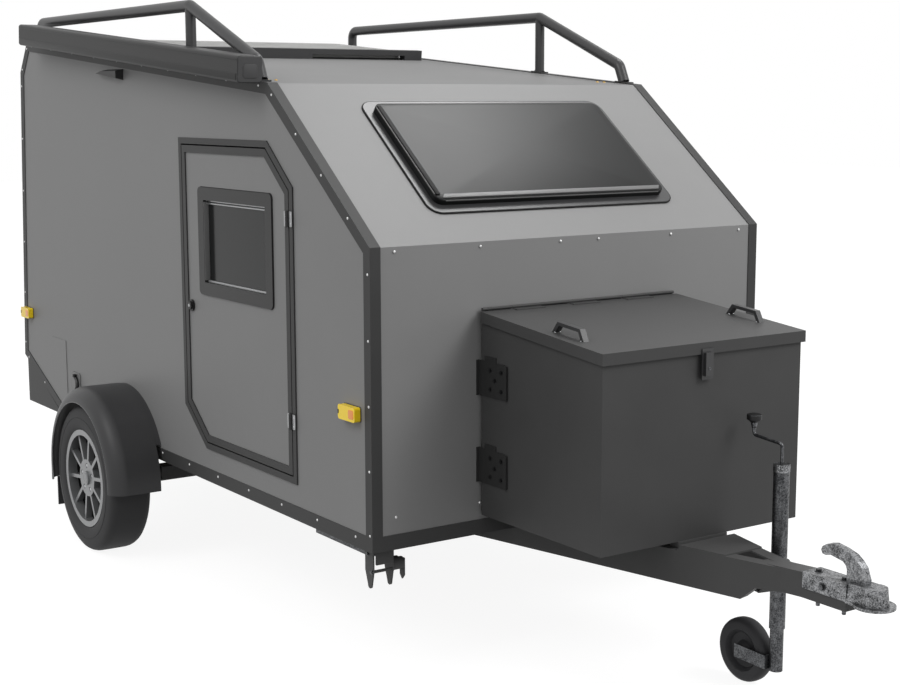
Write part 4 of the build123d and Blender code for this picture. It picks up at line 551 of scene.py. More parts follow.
def left_wall(back_mm: float, z_mm: float, proud_mm: float = 0.0) -> Seat:
    """A seat on the left wall's skin, facing out, its first coordinate to the rear."""
    return Seat(Vector((back(back_mm), (SKIN_MM + proud_mm) * MM, z_mm * MM)),
                Vector((-1, 0, 0)), Vector((0, 0, 1)))


def facing_front(ahead_mm: float, y_mm: float, z_mm: float) -> Seat:
    """A seat that faces forward, its first coordinate to the left."""
    return Seat(Vector((ahead(ahead_mm), y_mm * MM, z_mm * MM)), Vector((0, 1, 0)), Vector((0, 0, 1)))


def facing_rear(back_mm: float, y_mm: float, z_mm: float) -> Seat:
    """A seat that faces the rear, its first coordinate to the right."""
    return Seat(Vector((back(back_mm), y_mm * MM, z_mm * MM)), Vector((0, -1, 0)), Vector((0, 0, 1)))


def facing_up(ahead_mm: float, y_mm: float, z_mm: float) -> Seat:
    """A seat that faces up, its first coordinate forward."""
    return Seat(Vector((ahead(ahead_mm), y_mm * MM, z_mm * MM)), Vector((1, 0, 0)), Vector((0, 1, 0)))


def tilted(foot: Vector, pitch_deg: float) -> Seat:
    """A seat on a plane that rises to the rear, its first coordinate to the left.

    Args:
        foot: A point on the plane, in metres.
        pitch_deg: How steeply the plane rises to the rear.

    Returns:
        The seat, its second coordinate up the plane.
    """
    pitch = math.radians(pitch_deg)
    return Seat(foot, Vector((0, 1, 0)), Vector((-math.cos(pitch), 0, math.sin(pitch))))


def rounded_loop(width: float, height: float, radius: float, steps: int = 5) -> list[tuple[float, float]]:
    """Corners of a rounded rectangle about the origin.

    Args:
        width: Its width.
        height: Its height.
        radius: Its corner radius.
        steps: Straight pieces of each corner.

    Returns:
        The points, turning left.
    """
    loop = []
    radius = max(radius, 0.01)
    for quarter, (side, end) in enumerate(((1, 1), (-1, 1), (-1, -1), (1, -1))):
        for step in range(steps + 1):
            turn = math.radians(90 * (quarter + step / steps))
            loop.append((side * (width / 2 - radius) + radius * math.cos(turn),
                         end * (height / 2 - radius) + radius * math.sin(turn)))
    return loop


class Shape:
    """A mesh in the making, to which closed forms are added one by one."""

    def __init__(self) -> None:
        """Starts empty."""
        self.mesh = bmesh.new()

    def loft(self, loops: Sequence[Sequence[Vector]], closed: bool = False) -> "Shape":
        """Adds a skin over loops of equally many points.

        Args:
            loops: The loops, in order. A loop of one point ends the form in a pole.
            closed: Whether the last loop joins the first.

        Returns:
            The shape itself.
        """
        rows = [[self.mesh.verts.new(p) for p in loop] for loop in loops]
        pairs = list(zip(rows, rows[1:] + rows[:1])) if closed else list(zip(rows, rows[1:]))
        for low, high in pairs:
            count = max(len(low), len(high))
            for i in range(count):
                j = (i + 1) % count
                corners = [low[i % len(low)], low[j % len(low)], high[j % len(high)], high[i % len(high)]]
                self.mesh.faces.new(list(dict.fromkeys(corners)))
        if not closed:
            for row in (rows[0], rows[-1]):
                if len(row) > 2:
                    self.mesh.faces.new(row)
        return self

    def slab(self, seat: Seat, width: float, height: float, radius: float, thick: float,
             edge: float = 1.0, crown: float = 0.0) -> "Shape":
        """Adds a plate with rounded corners, a rounded rim and a crowned face.

        Args:
            seat: Where its back lies.
            width: Size along the seat.
            height: Size up the seat.
            radius: Corner radius.
            thick: Height of its rim.
            edge: Radius of the rim's front.
            crown: How far its middle stands above the rim.

        Returns:
            The shape itself.
        """
        sizes = [(0.0, 0.0), (0.0, thick - edge)]
        for step in (1, 2, 3):
            turn = math.radians(30 * step)
            sizes.append((edge * (1 - math.cos(turn)), thick - edge + edge * math.sin(turn)))
        loops = [
            [seat.point(u, v, w) for u, v in rounded_loop(width - 2 * i, height - 2 * i, radius - i)]
            for i, w in sizes
        ]
        if crown:
            rim = rounded_loop(width - 2 * edge, height - 2 * edge, radius - edge)
            for share in (0.94, 0.82, 0.62, 0.36):
                loops.append([seat.point(u * share, v * share, thick + crown * (1 - share ** 2))
                              for u, v in rim])
            loops.append([seat.point(0, 0, thick + crown)])
        return self.loft(loops)

    def ring(self, seat: Seat, outer: tuple[float, float, float], inner: tuple[float, float, float],
             thick: float, edge: float = 1.0) -> "Shape":
        """Adds a rectangular frame with softened edges.

        Args:
            seat: Where its back lies.
            outer: Width, height and corner radius outside.
            inner: Width, height and corner radius of the opening.
            thick: Its thickness.
            edge: Radius of its front edges.

        Returns:
            The shape itself.
        """
        half = edge * 0.3
        sections = (
            (outer, 0.0, 0.0), (outer, 0.0, thick - edge), (outer, -2 * half, thick - half),
            (outer, -2 * edge, thick), (inner, 2 * edge, thick), (inner, 2 * half, thick - half),
            (inner, 0.0, thick - edge), (inner, 0.0, 0.0),
        )
        loops = [
            [seat.point(u, v, w) for u, v in
             rounded_loop(size[0] + grow, size[1] + grow, max(size[2] + grow / 2, 0.3))]
            for size, grow, w in sections
        ]
        return self.loft(loops, closed=True)

    def lathe(self, seat: Seat, profile: Sequence[tuple[float, float]], segments: int = 32,
              closed: bool = False) -> "Shape":
        """Adds a turned form.

        Args:
            seat: Its middle, with the axis along the seat's outward direction.
            profile: Distance along the axis and radius, point by point. A radius of 0 makes a pole.
            segments: Sides of the round.
            closed: Whether the profile closes on itself, as a tyre's does.

        Returns:
            The shape itself.
        """
        loops = []
        for along, radius in profile:
            if radius <= 0:
                loops.append([seat.point(0, 0, along)])
                continue
            turns = [2 * math.pi * i / segments for i in range(segments)]
            loops.append([seat.point(radius * math.cos(t), radius * math.sin(t), along) for t in turns])
        return self.loft(loops, closed)

    def prism(self, seat: Seat, outline: Sequence[tuple[float, float]], thick: float,
              edge: float = 0.8) -> "Shape":
        """Adds a plate of any outline with broken edges.

        Args:
            seat: Where its back lies.
            outline: Its corners, in millimetres along and up the seat.
            thick: Its thickness.
            edge: Width of the broken edges.

        Returns:
            The shape itself.
        """
        own = bmesh.new()
        own.faces.new([own.verts.new(seat.point(u, v)) for u, v in outline])
        grown = bmesh.ops.extrude_face_region(own, geom=own.faces[:])
        moved = [e for e in grown["geom"] if isinstance(e, bmesh.types.BMVert)]
        bmesh.ops.translate(own, verts=moved, vec=seat.out * thick * MM)
        if edge:
            bmesh.ops.bevel(own, geom=own.edges[:], offset=edge * MM, segments=2, profile=0.6,
                            affect="EDGES", clamp_overlap=True)
        table = {v: self.mesh.verts.new(v.co) for v in own.verts}
        for face in own.faces:
            self.mesh.faces.new([table[v] for v in face.verts])
        own.free()
        return self

    def tube(self, path: Sequence[Vector], radius: float, sides: int = 12) -> "Shape":
        """Adds a round bar along a path, with rounded ends.

        Args:
            path: Its points, in metres.
            radius: Its radius in millimetres.
            sides: Sides of the round.

        Returns:
            The shape itself.
        """
        points = [Vector(p) for p in path]
        first = (points[1] - points[0]).normalized()
        side = first.orthogonal().normalized()
        loops = []
        for i, point in enumerate(points):
            before = points[max(i - 1, 0)]
            after = points[min(i + 1, len(points) - 1)]
            heading = (after - before).normalized()
            side = (side - heading * side.dot(heading)).normalized()
            across = heading.cross(side)
            shares = [(0.0, 1.0)]
            if i == 0:
                shares = [(-0.45, 0.5), (-0.2, 0.85), (0.0, 1.0)]
            elif i == len(points) - 1:
                shares = [(0.0, 1.0), (0.2, 0.85), (0.45, 0.5)]
            for shift, share in shares:
                middle = point + heading * shift * radius * MM
                turns = [2 * math.pi * k / sides for k in range(sides)]
                loops.append([middle + (side * math.cos(t) + across * math.sin(t)) * share * radius * MM
                              for t in turns])
        return self.loft(loops)

    def piece(self, name: str, finish: Surface, body: str, slot: str, *nodes: str,
              sharp_deg: float = 35.0) -> bpy.types.Object:
        """Turns the shape into a finished object.

        Args:
            name: The piece's name.
            finish: Its finish.
            body: The body that carries it.
            slot: The record's material slot.
            *nodes: CAD nodes that it replaces.
            sharp_deg: Edges that turn more than this stay sharp.

        Returns:
            The object.
        """
        bmesh.ops.recalc_face_normals(self.mesh, faces=self.mesh.faces[:])
        mesh = bpy.data.meshes.new(name)
        self.mesh.to_mesh(mesh)
        self.mesh.free()
        mesh.materials.append(finish.material())
        mesh.shade_smooth()
        mesh.set_sharp_from_angle(angle=math.radians(sharp_deg))
        return finish_piece(add_object(name, mesh), body, slot, *nodes)


class Head(Enum):
    """The kinds of fastener."""

    DOME_RIVET = "dome_rivet"
    HEX_BOLT = "hex_bolt"


@dataclass(frozen=True)
class Row:
    """Evenly spaced fasteners in a straight line, or a single one.

    Attributes:
        start: Its first point, in metres.
        out: The direction that the heads face.
        end: Its last point, where it has more than one fastener.
        count: How many fasteners it has.
    """

    start: Vector
    out: Vector
    end: Optional[Vector] = None
    count: int = 1

    def places(self) -> list[Vector]:
        """Where its fasteners stand."""
        if self.end is None:
            return [self.start]
        return [self.start.lerp(self.end, k / (self.count - 1)) for k in range(self.count)]


@dataclass
class Fasteners:
    """Rivets or bolts of one kind, set on their places by geometry nodes.

    Attributes:
        name: The piece's name.
        head: Their kind.
        radius: Radius of a head, in millimetres.
        height: Height of a head.
        finish: Their finish.
        washer_radius: Radius of a bolt's washer, as a share of the head's.
        washer_height: Thickness of the washer, as a share of the head's height.
    """

    name: str
    head: Head
    radius: float
    height: float
    finish: Surface
    washer_radius: float = 1.45
    washer_height: float = 0.4

    def head_socket(self, tree: bpy.types.NodeTree, given: bpy.types.Node) -> bpy.types.NodeSocket:
        """Adds the nodes that make one head.

        Args:
            tree: The node tree.
            given: Its group input.

        Returns:
            The socket that gives the head's mesh.
        """
        radius = given.outputs["Radius"]
        height = given.outputs["Height"]
        if self.head is Head.DOME_RIVET:
            ball = add_node(tree, "GeometryNodeMeshUVSphere",
                            {"in:Segments": 9, "in:Rings": 6, "in:Radius": 1.0})
            size = add_node(tree, "ShaderNodeCombineXYZ", links={0: radius, 1: radius, 2: height})
            return add_node(tree, "GeometryNodeTransform",
                            links={"Geometry": ball.outputs["Mesh"], "Scale": size.outputs[0]}).outputs[0]
        nut = add_node(tree, "GeometryNodeMeshCylinder", {"in:Vertices": 6},
                       {"Radius": radius, "Depth": height})
        lift = add_node(tree, "ShaderNodeMath", {"operation": "MULTIPLY", "in:1": 0.5}, {0: height})
        raised = add_node(tree, "ShaderNodeCombineXYZ", links={2: lift.outputs[0]})
        nut_up = add_node(tree, "GeometryNodeTransform",
                          links={"Geometry": nut.outputs["Mesh"], "Translation": raised.outputs[0]})
        wide = add_node(tree, "ShaderNodeMath", {"operation": "MULTIPLY", "in:1": self.washer_radius},
                        {0: radius})
        low = add_node(tree, "ShaderNodeMath", {"operation": "MULTIPLY", "in:1": self.washer_height},
                       {0: height})
        washer = add_node(tree, "GeometryNodeMeshCylinder", {"in:Vertices": 14},
                          {"Radius": wide.outputs[0], "Depth": low.outputs[0]})
        both = add_node(tree, "GeometryNodeJoinGeometry", links={0: nut_up.outputs[0]})
        tree.links.new(washer.outputs["Mesh"], both.inputs[0])
        return both.outputs[0]

    def tree(self) -> bpy.types.NodeTree:
        """Builds the node tree that sets one head on each point, turned to face out.

        Returns:
            The tree, with its places, radius and height as inputs.
        """
        tree = bpy.data.node_groups.new(self.name, "GeometryNodeTree")
        tree.interface.new_socket("Places", in_out="INPUT", socket_type="NodeSocketGeometry")
        for label in ("Radius", "Height"):
            tree.interface.new_socket(label, in_out="INPUT", socket_type="NodeSocketFloat")
        tree.interface.new_socket("Heads", in_out="OUTPUT", socket_type="NodeSocketGeometry")
        given = add_node(tree, "NodeGroupInput")
        out = add_node(tree, "GeometryNodeInputNamedAttribute",
                       {"data_type": "FLOAT_VECTOR", "in:Name": "out"})
        turn = add_node(tree, "FunctionNodeAlignRotationToVector", {"axis": "Z"},
                        {"Vector": out.outputs["Attribute"]})
        heads = add_node(
            tree, "GeometryNodeInstanceOnPoints",
            links={"Points": given.outputs["Places"], "Instance": self.head_socket(tree, given),
                   "Rotation": turn.outputs[0]},
        )
        real = add_node(tree, "GeometryNodeRealizeInstances", links={"Geometry": heads.outputs[0]})
        dressed = add_node(tree, "GeometryNodeSetMaterial", {"in:Material": self.finish.material()},
                           {"Geometry": real.outputs[0]})
        add_node(tree, "NodeGroupOutput", links={0: dressed.outputs[0]})
        return tree

    def place(self, rows: Sequence[Row], body: str, slot: str) -> bpy.types.Object:
        """Sets the fasteners and turns them into a plain mesh.

        Args:
            rows: Where they stand.
            body: The body that carries them.
            slot: The record's material slot.

        Returns:
            The finished piece.
        """
        spots = [(place, row.out) for row in rows for place in row.places()]
        mesh = bpy.data.meshes.new(self.name + "_places")
        mesh.from_pydata([tuple(place) for place, _ in spots], [], [])
        outs = mesh.attributes.new("out", "FLOAT_VECTOR", "POINT")
        for item, (_, out) in zip(outs.data, spots):
            item.vector = out
        holder = add_object(self.name + "_places", mesh)
        maker = holder.modifiers.new("heads", "NODES")
        maker.node_group = self.tree()
        sizes = {"Radius": self.radius * MM, "Height": self.height * MM}
        for item in maker.node_group.interface.items_tree:
            if item.name in sizes:
                maker[item.identifier] = sizes[item.name]
        ready = holder.evaluated_get(bpy.context.evaluated_depsgraph_get())
        plain = bpy.data.meshes.new_from_object(ready)
        holder.modifiers.remove(maker)
        bpy.data.objects.remove(holder)
        plain.name = self.name
        plain.shade_smooth()
        plain.set_sharp_from_angle(angle=math.radians(SHARP_HEAD_DEG))
        return finish_piece(add_object(self.name, plain), body, slot)


@dataclass(frozen=True)
class StudioLamp:
    """One soft square lamp.

    Attributes:
        name: Its name.
        at: Its place, in metres.
        aim: The place that it faces.
        size: The length of its side.
        power: Its power in watts.
    """

    name: str
    at: tuple[float, float, float]
    aim: tuple[float, float, float]
    size: float
    power: float

    def build(self) -> None:
        """Hangs the lamp and turns it to face its aim."""
        lamp = bpy.data.lights.new(self.name, "AREA")
        lamp.size = self.size
        lamp.energy = self.power
        holder = add_object(self.name, lamp)
        holder.location = self.at
        holder.rotation_mode = "QUATERNION"
        holder.rotation_quaternion = (Vector(self.aim) - Vector(self.at)).to_track_quat("-Z", "Y")


@dataclass
class Studio:
    """Camera at the photograph's angle, pale floor and backdrop, and soft light.

    Attributes:
        lens_mm: Focal length.
        sensor_mm: Width of the sensor.
        camera_at: The camera's place, in metres.
        heading_deg: How far it is turned from looking straight at the door side.
        tilt_deg: How far it looks down.
        roll_deg: How far it leans.
        floor_size: Side of the floor, in metres.
        floor_tones: Dark and light tone of the floor, as the lamps see it.
        world_level: Strength of the light from all round.
        floor_glow: What the floor adds to the rays that a viewer sees.
        lamps: A high one behind, a side one for the door side and one for the front.
    """

    lens_mm: float = 63.34
    sensor_mm: float = 36.0
    camera_at: tuple[float, float, float] = (4.8799, -3.2405, 1.7682)
    heading_deg: float = 55.769
    tilt_deg: float = 8.6627
    roll_deg: float = -0.135
    floor_size: float = 60.0
    floor_tones: tuple[str, str] = ("#767676", "#7a7a7a")
    world_level: float = 0.78
    floor_glow: float = 0.9
    lamps: tuple[StudioLamp, ...] = (
        StudioLamp("key", (-0.7, 3.2, 7.5), (0.2, 0.0, 1.2), 2.2, 130.0),
        StudioLamp("side", (0.5, -5.2, 5.5), (0.0, -0.8, 1.2), 3.0, 112.0),
        StudioLamp("front", (5.2, 2.8, 5.2), (0.9, 0.2, 1.0), 3.0, 220.0),
    )

    def build(self) -> None:
        """Makes the camera, the lights, the world and the floor."""
        self.add_camera()
        self.add_world()
        self.add_floor()
        for lamp in self.lamps:
            lamp.build()
        bpy.context.scene.view_settings.view_transform = "Standard"

    def add_camera(self) -> None:
        """Places the camera by its heading, tilt and roll."""
        heading = math.radians(self.heading_deg)
        tilt = math.radians(self.tilt_deg)
        roll = math.radians(self.roll_deg)
        forward = Vector((-math.sin(heading) * math.cos(tilt), math.cos(heading) * math.cos(tilt),
                          -math.sin(tilt)))
        right = Vector((math.cos(heading), math.sin(heading), 0))
        up = right.cross(forward)
        turned_right = right * math.cos(roll) + up * math.sin(roll)
        turned_up = up * math.cos(roll) - right * math.sin(roll)
        camera = bpy.data.cameras.new("camera")
        camera.lens = self.lens_mm
        camera.sensor_width = self.sensor_mm
        camera.sensor_fit = "HORIZONTAL"
        holder = add_object("camera", camera)
        basis = Matrix((turned_right, turned_up, -forward)).transposed()
        holder.matrix_world = Matrix.Translation(self.camera_at) @ basis.to_4x4()
        bpy.context.scene.camera = holder

    def seen_rays(self, tree: bpy.types.NodeTree) -> bpy.types.Node:
        """Adds nodes that tell the rays that a viewer sees from the light.

        Args:
            tree: The node tree that gets them.

        Returns:
            The last node, which gives 1 for camera, glossy and transmission rays.
        """
        rays = add_node(tree, "ShaderNodeLightPath")
        straight = add_node(
            tree, "ShaderNodeMath", {"operation": "MAXIMUM"},
            {0: rays.outputs["Is Camera Ray"], 1: rays.outputs["Is Transmission Ray"]},
        )
        return add_node(
            tree, "ShaderNodeMath", {"operation": "MAXIMUM"},
            {0: straight.outputs[0], 1: rays.outputs["Is Glossy Ray"]},
        )

    def add_world(self) -> None:
        """Lights from all round, and shows white to the camera and in reflections and glass."""
        world = bpy.data.worlds.new("studio")
        bpy.context.scene.world = world
        world.use_nodes = True
        tree = world.node_tree
        tree.nodes.clear()
        seen = self.seen_rays(tree)
        lamp = add_node(tree, "ShaderNodeBackground",
                        {"in:Color": (1, 1, 1, 1), "in:Strength": self.world_level})
        white = add_node(tree, "ShaderNodeBackground", {"in:Color": (1, 1, 1, 1), "in:Strength": 1.0})
        mixed = add_node(
            tree, "ShaderNodeMixShader",
            links={0: seen.outputs[0], 1: lamp.outputs[0], 2: white.outputs[0]},
        )
        add_node(tree, "ShaderNodeOutputWorld", links={"Surface": mixed.outputs[0]})

    def add_floor(self) -> None:
        """Lays a pale floor that keeps the caravan's shadow."""
        material, tree, shader = new_material("pale_studio_floor")
        place = add_node(tree, "ShaderNodeTexCoord").outputs["Object"]
        speck = add_node(tree, "ShaderNodeTexNoise", {"in:Scale": 1.2, "in:Detail": 2.0}, {"Vector": place})
        tone = add_node(
            tree, "ShaderNodeMix",
            {"data_type": "RGBA", "in:6": linear(self.floor_tones[0]), "in:7": linear(self.floor_tones[1])},
            {0: speck.outputs["Fac"]},
        )
        tree.links.new(tone.outputs[2], shader.inputs["Base Color"])
        shader.inputs["Roughness"].default_value = 0.9
        shader.inputs["Specular IOR Level"].default_value = 0.0
        shader.inputs["Emission Color"].default_value = (1, 1, 1, 1)
        glow = add_node(tree, "ShaderNodeMath", {"operation": "MULTIPLY", "in:1": self.floor_glow},
                        {0: self.seen_rays(tree).outputs[0]})
        tree.links.new(glow.outputs[0], shader.inputs["Emission Strength"])
        half = self.floor_size / 2
        mesh = bpy.data.meshes.new("studio_floor")
        mesh.from_pydata([(-half, -half, 0), (half, -half, 0), (half, half, 0), (-half, half, 0)], [],
                         [(0, 1, 2, 3)])
        mesh.materials.append(material)
        add_object("studio_floor", mesh)


@dataclass
class BodyShell:
    """Walls, roof and trims, with the rivets that hold the trims.

    Attributes:
        profile: Outline of the side, as distance behind the front wall and height.
        pitches: Rivet spacing on each edge of the outline.
        gaps: Distance of each edge's first and last rivet from its corners.
        rivet_inset: Distance of the rivets from the edge.
        sill_inset: The same along the bottom edge, which is the outline's last.
        trim_thick: How far the trims stand off the side walls.
        rivet_radius: Radius of a rivet's head.
        rivet_height: Height of a rivet's head.
        wall_rows: Height of each row across the front wall, and how far it sits behind it.
        wall_sides: Ends of the two halves of such a row.
        wall_count: Rivets in each half.
    """

    profile: tuple[tuple[float, float], ...] = (
        (0, 400), (0, 1338), (629, 1830), (2870, 2028.1), (2967, 1899.1), (3064, 620), (2580, 400),
    )
    pitches: tuple[float, ...] = (201, 201, 250, 120, 250, 240, 241)
    gaps: tuple[tuple[float, float], ...] = (
        (53, 81), (149, 47), (60, 60), (25, 25), (60, 60), (50, 50), (70, 100),
    )
    rivet_inset: float = 14.0
    sill_inset: float = 32.0
    trim_thick: float = 3.0
    rivet_radius: float = 4.5
    rivet_height: float = 2.4
    wall_rows: tuple[tuple[float, float], ...] = ((1322, 0.0), (502, 3.0))
    wall_sides: tuple[tuple[float, float], ...] = ((-712, -79), (79, 712))
    wall_count: int = 3

    def build(self) -> None:
        """Dresses the shell and sets its rivets."""
        dress(("side_wall_right", "side_wall_left", "front_wall", "slope_wall", "rear_top_panel",
               "rear_wall", "service_hatch"), PANEL_SKIN)
        dress(("roof_panel",), ROOF_SKIN)
        dress(("floor_panel",), FLOOR_BOARD)
        dress(("edge_trims", "front_sill", "rear_skirt"), DARK_TRIM)
        Fasteners("trim_rivets", Head.DOME_RIVET, self.rivet_radius, self.rivet_height, TRIM_RIVET
                  ).place(self.trim_rows() + self.front_rows(), "caravan", "dark_trim")

    def trim_rows(self) -> list[Row]:
        """Spaces rivets along every edge of both sides, each edge by its own pitch.

        Returns:
            A row for each edge and side.
        """
        rows = []
        count = len(self.profile)
        for i, (start, pitch) in enumerate(zip(self.profile, self.pitches)):
            end = self.profile[(i + 1) % count]
            heading = Vector((end[0] - start[0], end[1] - start[1])).normalized()
            inset = self.sill_inset if i == count - 1 else self.rivet_inset
            inward = Vector((heading.y, -heading.x)) * inset
            first = Vector(start) + inward + heading * self.gaps[i][0]
            last = Vector(end) + inward - heading * self.gaps[i][1]
            steps = max(round((last - first).length / pitch), 1)
            for side in (-1, 1):
                face = side * (SKIN_MM + self.trim_thick) * MM
                ends = [Vector((back(p.x), face, p.y * MM)) for p in (first, last)]
                rows.append(Row(ends[0], Vector((0, side, 0)), ends[1], steps + 1))
        return rows

    def front_rows(self) -> list[Row]:
        """Spaces rivets across the front wall, under the slope and above the sill.

        Returns:
            Two rows at each height.
        """
        rows = []
        for z_mm, depth in self.wall_rows:
            for sides in self.wall_sides:
                first, last = (Vector((back(depth), y_mm * MM, z_mm * MM)) for y_mm in sides)
                rows.append(Row(first, Vector((1, 0, 0)), last, self.wall_count))
        return rows


@dataclass
class SideWindow:
    """A framed pane in a side: light bars across its opening, and its rear reveal.

    Attributes:
        prefix: Start of the pieces' names.
        frame_node: The CAD node of its frame.
        pane_node: The CAD node of its pane.
        body: The body that carries it.
        side: -1 on the right wall and 1 on the left, which is also the way along to the rear.
        opening: Width and height of the frame's opening.
        top_bar: Height of the double bar along the top.
        bar_share: Height of each half of that bar, as a share of it.
        bar_shift: How far each half lies from its middle, as a share of it.
        bottom_bar: Height of the single bar along the bottom.
        bar_thick: How far the bars stand off the pane.
        liner_thick: Thickness of the reveal's liner.
        slot: Place from the opening's rear end and length of the black block on the top bar, which paints
            the shade of a slot.
        seal_outer: Width, height and corner radius of the seal outside.
        seal_inner: The same inside.
        frame_rim: Height of the frame's rolled rim, outside the seal.
    """

    prefix: str
    frame_node: str
    pane_node: str
    body: str
    side: int
    opening: tuple[float, float] = (467, 293)
    top_bar: float = 15.0
    bar_share: float = 0.34
    bar_shift: float = 0.3
    bottom_bar: float = 7.0
    bar_thick: float = 9.0
    liner_thick: float = 1.4
    slot: tuple[float, float] = (24, 26)
    seal_outer: tuple[float, float, float] = (561, 387, 20)
    seal_inner: tuple[float, float, float] = (553, 379, 17)
    frame_rim: float = 5.0

    def build(self) -> None:
        """Dresses the frame and pane, and adds the bars, the reveal and the seal."""
        dress((self.frame_node,), WINDOW_ABS)
        dress((self.pane_node,), SMOKED_PANE)
        seat = self.seat()
        width, height = self.opening
        top = seat.moved(0, height / 2 - self.top_bar / 2)
        bars = Shape()
        for shift in (self.bar_shift, -self.bar_shift):
            bars.slab(top.moved(0, self.top_bar * shift), width - 2, self.top_bar * self.bar_share, 1.0,
                      self.bar_thick)
        bars.slab(seat.moved(0, self.bottom_bar / 2 - height / 2), width - 2, self.bottom_bar, 2.0,
                  self.bar_thick - 1)
        self.add(bars, "bars", ANODISED, "alloy")
        depth = self.frame_proud() + 4
        corner = seat.moved(self.side * (width / 2 - 0.6), 0, depth / 2)
        liner = Seat(corner.at, Vector((0, 1, 0)), Vector((0, 0, 1)))
        self.add(Shape().slab(liner, depth, height - 14, 1.0, self.liner_thick, 0.5),
                 "liner", REVEAL_ABS, "black_plastic")
        # A black block on the top bar paints the shade inside a slot.
        inward, length = self.slot
        self.add(Shape().slab(top.moved(self.side * (width / 2 - inward), 0), length, self.top_bar * 0.7,
                              2.0, self.bar_thick + 0.6, 0.8), "slot", BLACK_ABS, "black_plastic")
        self.add(Shape().ring(seat.moved(0, 0, self.frame_proud() - 2.0), self.seal_outer,
                              self.seal_inner, 2.0, 0.6), "seal", SEAL_RUBBER, "black_plastic")

    def add(self, shape: Shape, part: str, finish: Surface, slot: str) -> None:
        """Finishes one of the window's own pieces."""
        shape.piece(f"{self.prefix}_window_{part}", finish, self.body, slot)

    def face(self, node: str) -> float:
        """Where the outer face of a node lies across the caravan, in metres."""
        low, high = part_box(node)
        return low[1] if self.side < 0 else high[1]

    def seat(self) -> Seat:
        """The middle of the pane's outer face."""
        low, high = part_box(self.pane_node)
        middle = (Vector(low) + Vector(high)) / 2
        return Seat(Vector((middle.x, self.face(self.pane_node), middle.z)), Vector((-self.side, 0, 0)),
                    Vector((0, 0, 1)))

    def frame_proud(self) -> float:
        """How far the frame inside its rim lies outside the pane, in millimetres."""
        gap = self.side * (self.face(self.frame_node) - self.face(self.pane_node))
        return gap / MM - self.frame_rim


@dataclass
class FrontWindow:
    """The big pane on the slope, with its rails and gasket.

    Attributes:
        foot: A point where the slope begins, as millimetres along X and Z.
        slope: Run and rise of the slope.
        up: Height of the pane's middle up the slope.
        size: Width, height and corner radius of the pane.
        pane_from: How far the pane's back stands off the slope.
        thick: Thickness of its rim.
        crown: How far its middle bulges.
        rail_width: Width of the dark rail along its left edge.
        rail_margin: Distance of that rail from the edge.
        foot_rail: Height of the light rail along the bottom.
        foot_rail_cuts: Distance of that rail's corners from the pane's ends, left to right.
        gasket_outer: Width, height and corner radius of the gasket outside.
        gasket_inner: The same inside.
        gasket_thick: Its thickness.
    """

    foot: tuple[float, float] = (866.5, 1336.54)
    slope: tuple[float, float] = (629, 492)
    up: float = 413.0
    size: tuple[float, float, float] = (950, 490, 30)
    pane_from: float = 6.0
    thick: float = 20.0
    crown: float = 5.0
    rail_width: float = 17.0
    rail_margin: float = 6.0
    foot_rail: float = 18.0
    foot_rail_cuts: tuple[float, float, float, float] = (22, 30, 16, 34)
    gasket_outer: tuple[float, float, float] = (1018, 564, 49)
    gasket_inner: tuple[float, float, float] = (1006, 552, 43)
    gasket_thick: float = 5.0

    def build(self) -> None:
        """Makes the crowned pane, its rails and the gasket."""
        dress(("front_window_frame",), FRAME_GLOSS)
        seat = self.seat()
        width, height, corner = self.size
        Shape().slab(seat.moved(0, 0, self.pane_from), width, height, corner, self.thick, 3.0, self.crown
                     ).piece("front_window_glazing", DARK_PANE, "caravan", "tinted_pane",
                             "front_window_pane")
        face = self.pane_from + self.thick
        left = -(width / 2 - self.rail_width / 2 - self.rail_margin)
        bottom = -height / 2
        Shape().slab(seat.moved(left, 4, face - 2), self.rail_width, height - 44, 4, 6.5, 1.5
                     ).slab(seat.moved(0, bottom + 5, face - 4), width - 70, 5, 2, 5.5
                            ).piece("front_window_stay_rail", STAY_RAIL, "caravan", "rail_paint")
        half = self.foot_rail / 2
        a, b, c, d = self.foot_rail_cuts
        outline = ((-width / 2 + a, -half), (width / 2 - b, -half), (width / 2 - c, half),
                   (-width / 2 + d, half))
        Shape().slab(seat.moved(left - self.rail_width / 2 - 3, 4, face - 2), 2.6, height - 52, 1, 4.2, 0.6
                     ).prism(seat.moved(0, bottom + 17, face - 2), outline, 7.0, 1.2
                             ).slab(seat.moved(0, bottom + 1, face - 5), width - 64, 2.4, 1.0, 4.0, 0.6
                                    ).piece("front_window_light_rails", RAIL_FACE, "caravan", "alloy")
        Shape().ring(seat, self.gasket_outer, self.gasket_inner, self.gasket_thick, 1.2
                     ).piece("front_window_gasket", SEAL_RUBBER, "caravan", "black_plastic")

    def seat(self) -> Seat:
        """The middle of the window on the slope's skin."""
        foot = Vector((self.foot[0] * MM, 0, self.foot[1] * MM))
        run, rise = self.slope
        return tilted(foot, math.degrees(math.atan2(rise, run))).moved(0, self.up)


